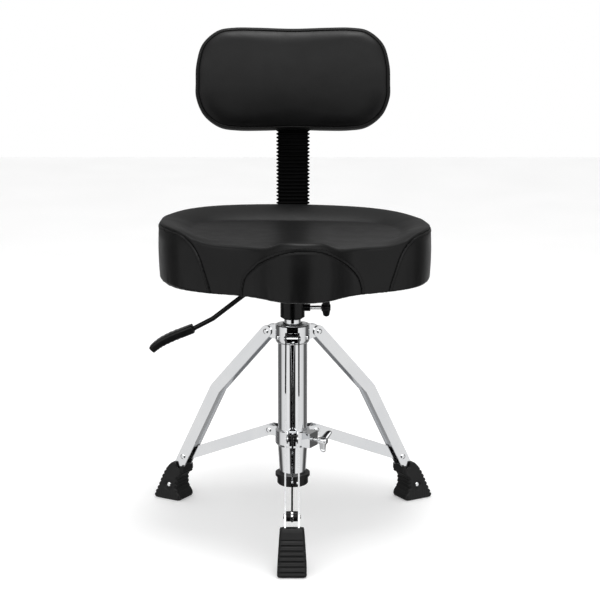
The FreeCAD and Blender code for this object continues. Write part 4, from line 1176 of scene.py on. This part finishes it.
def make_staples():
    """Wire staples that hold the cover's turned edge to the board, none quite in line."""
    edge = saddle_loop(STAPLES)[:, :2]
    staples = []
    for place, inward in zip(edge, inward_of(edge)):
        middle = place + inward * (STAPLE_INSET + rng.uniform(-0.8, 0.8))
        turn = rng.uniform(-0.25, 0.25)
        tangent = np.array([inward[1], -inward[0]])
        along = tangent * math.cos(turn) + inward * math.sin(turn)
        path = np.array([(*(middle + along * s), CUSHION_LOW + z) for s, z in STAPLE_LINE])
        across = np.array([-along[1], along[0], 0])
        rings = []
        for bend, direction in zip(path, unit(np.gradient(path, axis=0))):
            lift = np.cross(across, direction)
            rings.append([bend + across * wide + lift * high for wide, high in STAPLE_WIRE])
        staples.append(tube(rings))
    points, faces = joined(staples)
    make_mesh("seat_staples", saddle_to_frame(points), faces, "seat", "plain_steel",
              smooth=False)


make_staples()


# ---------------------------------------------------------------- camera, light and floor

CAMERA_PLACE = (0.0126, -2.506, 0.887)
CAMERA_DOWN = math.radians(11.31)
CAMERA_LENS = 91.3


def make_camera():
    data = bpy.data.cameras.new("camera")
    data.sensor_width = 36
    data.lens = CAMERA_LENS
    data.clip_end = 60
    camera = bpy.data.objects.new("camera", data)
    camera.location = CAMERA_PLACE
    camera.rotation_euler = (math.pi / 2 - CAMERA_DOWN, 0, 0)
    bpy.context.scene.collection.objects.link(camera)
    bpy.context.scene.camera = camera


# brightness by how far round from the camera's side, 0, to the far side, 1
STUDIO_ROUND = [(0.0, 0.0), (0.10, 0.0), (0.15, 1.05), (0.22, 1.0), (0.49, 0.85), (0.575, 0.13),
                (0.72, 0.11), (0.84, 0.4), (1.0, 0.5)]
# brightness of the raised front panel by the upward part of the direction
STUDIO_BAND = [(0.0, 0.0), (0.12, 0.40), (0.22, 0.66), (0.38, 1.0), (0.50, 0.95), (0.60, 0.24),
               (0.8, 0.15)]
STUDIO_UPPER = 0.34
STUDIO_PANEL = 3.1
STUDIO_ROOF = 0.9


def make_world():
    """A white studio with a narrow dark gap at the front and dark gaps at the back corners."""
    world = bpy.data.worlds.new("studio")
    world.use_nodes = True
    s = Nodes(world.node_tree)
    s.tree.nodes.clear()
    split = s.node("ShaderNodeSeparateXYZ")
    s.link(s.node("ShaderNodeTexCoord").outputs["Generated"], split.inputs[0])
    x, y, z = split.outputs

    def grey(source, stops):
        return s.ramp(source, [(position, (level,) * 3) for position, level in stops])

    def rising(low, high):
        return s.span(z, low, high, 0, 1, interpolation_type="SMOOTHSTEP")

    def mixed(share, low, high):
        return s.math("ADD", s.math("MULTIPLY", share, high),
                      s.math("MULTIPLY", s.math("SUBTRACT", 1.0, share), low))

    forward = s.math("MULTIPLY", y, -1.0)
    turn = s.math("DIVIDE", s.math("ARCTAN2", s.math("ABSOLUTE", x), forward), math.pi)
    panel = s.math("MULTIPLY", s.math("MAXIMUM", forward, 0.0),
                   s.math("MULTIPLY", grey(z, STUDIO_BAND), STUDIO_PANEL))
    upper = s.math("ADD", STUDIO_UPPER, panel)
    level = mixed(rising(0.02, 0.24), grey(turn, STUDIO_ROUND), upper)
    level = mixed(rising(0.6, 0.9), level, STUDIO_ROOF)
    strength = mixed(s.node("ShaderNodeLightPath").outputs["Is Camera Ray"], level, 1.0)
    background = s.node("ShaderNodeBackground")
    background.inputs["Color"].default_value = (1, 1, 1, 1)
    s.link(strength, background.inputs["Strength"])
    s.link(background.outputs[0], s.node("ShaderNodeOutputWorld").inputs["Surface"])
    bpy.context.scene.world = world


FLOOR_REACH = 6.0
FLOOR_LEVEL = -0.0004


def make_floor():
    s = Shader("floor")
    tone = s.noise(3, 3)
    s.set(Base_Color=s.ramp(tone, [(0.3, (0.86, 0.86, 0.86)), (0.7, (0.9, 0.9, 0.9))]),
          Roughness=0.8, Emission_Color=(1.0, 1.0, 1.0), Emission_Strength=0.20)
    s.bump((s.noise(400, 2), 0.02, 0.0005))
    mesh = bpy.data.meshes.new("floor")
    corners = [(x * FLOOR_REACH, y * FLOOR_REACH, FLOOR_LEVEL)
               for x, y in ((-1, -1), (1, -1), (1, 1), (-1, 1))]
    mesh.from_pydata(corners, [], [(0, 1, 2, 3)])
    mesh.materials.append(s.material)
    floor = bpy.data.objects.new("floor", mesh)
    bpy.context.scene.collection.objects.link(floor)
    floor.visible_glossy = False


def area_light(name, place, target, size, power):
    data = bpy.data.lights.new(name, "AREA")
    data.shape = "RECTANGLE"
    data.size, data.size_y = size
    data.energy = power
    light = bpy.data.objects.new(name, data)
    light.location = place
    aim = Vector(target) - Vector(place)
    light.rotation_euler = aim.to_track_quat("-Z", "Y").to_euler()
    bpy.context.scene.collection.objects.link(light)


make_camera()
make_world()
make_floor()
area_light("overhead", (0.15, 0.1, 2.6), (0, 0, 0.4), (1.0, 0.8), 30)
bpy.context.scene.view_settings.view_transform = "Standard"
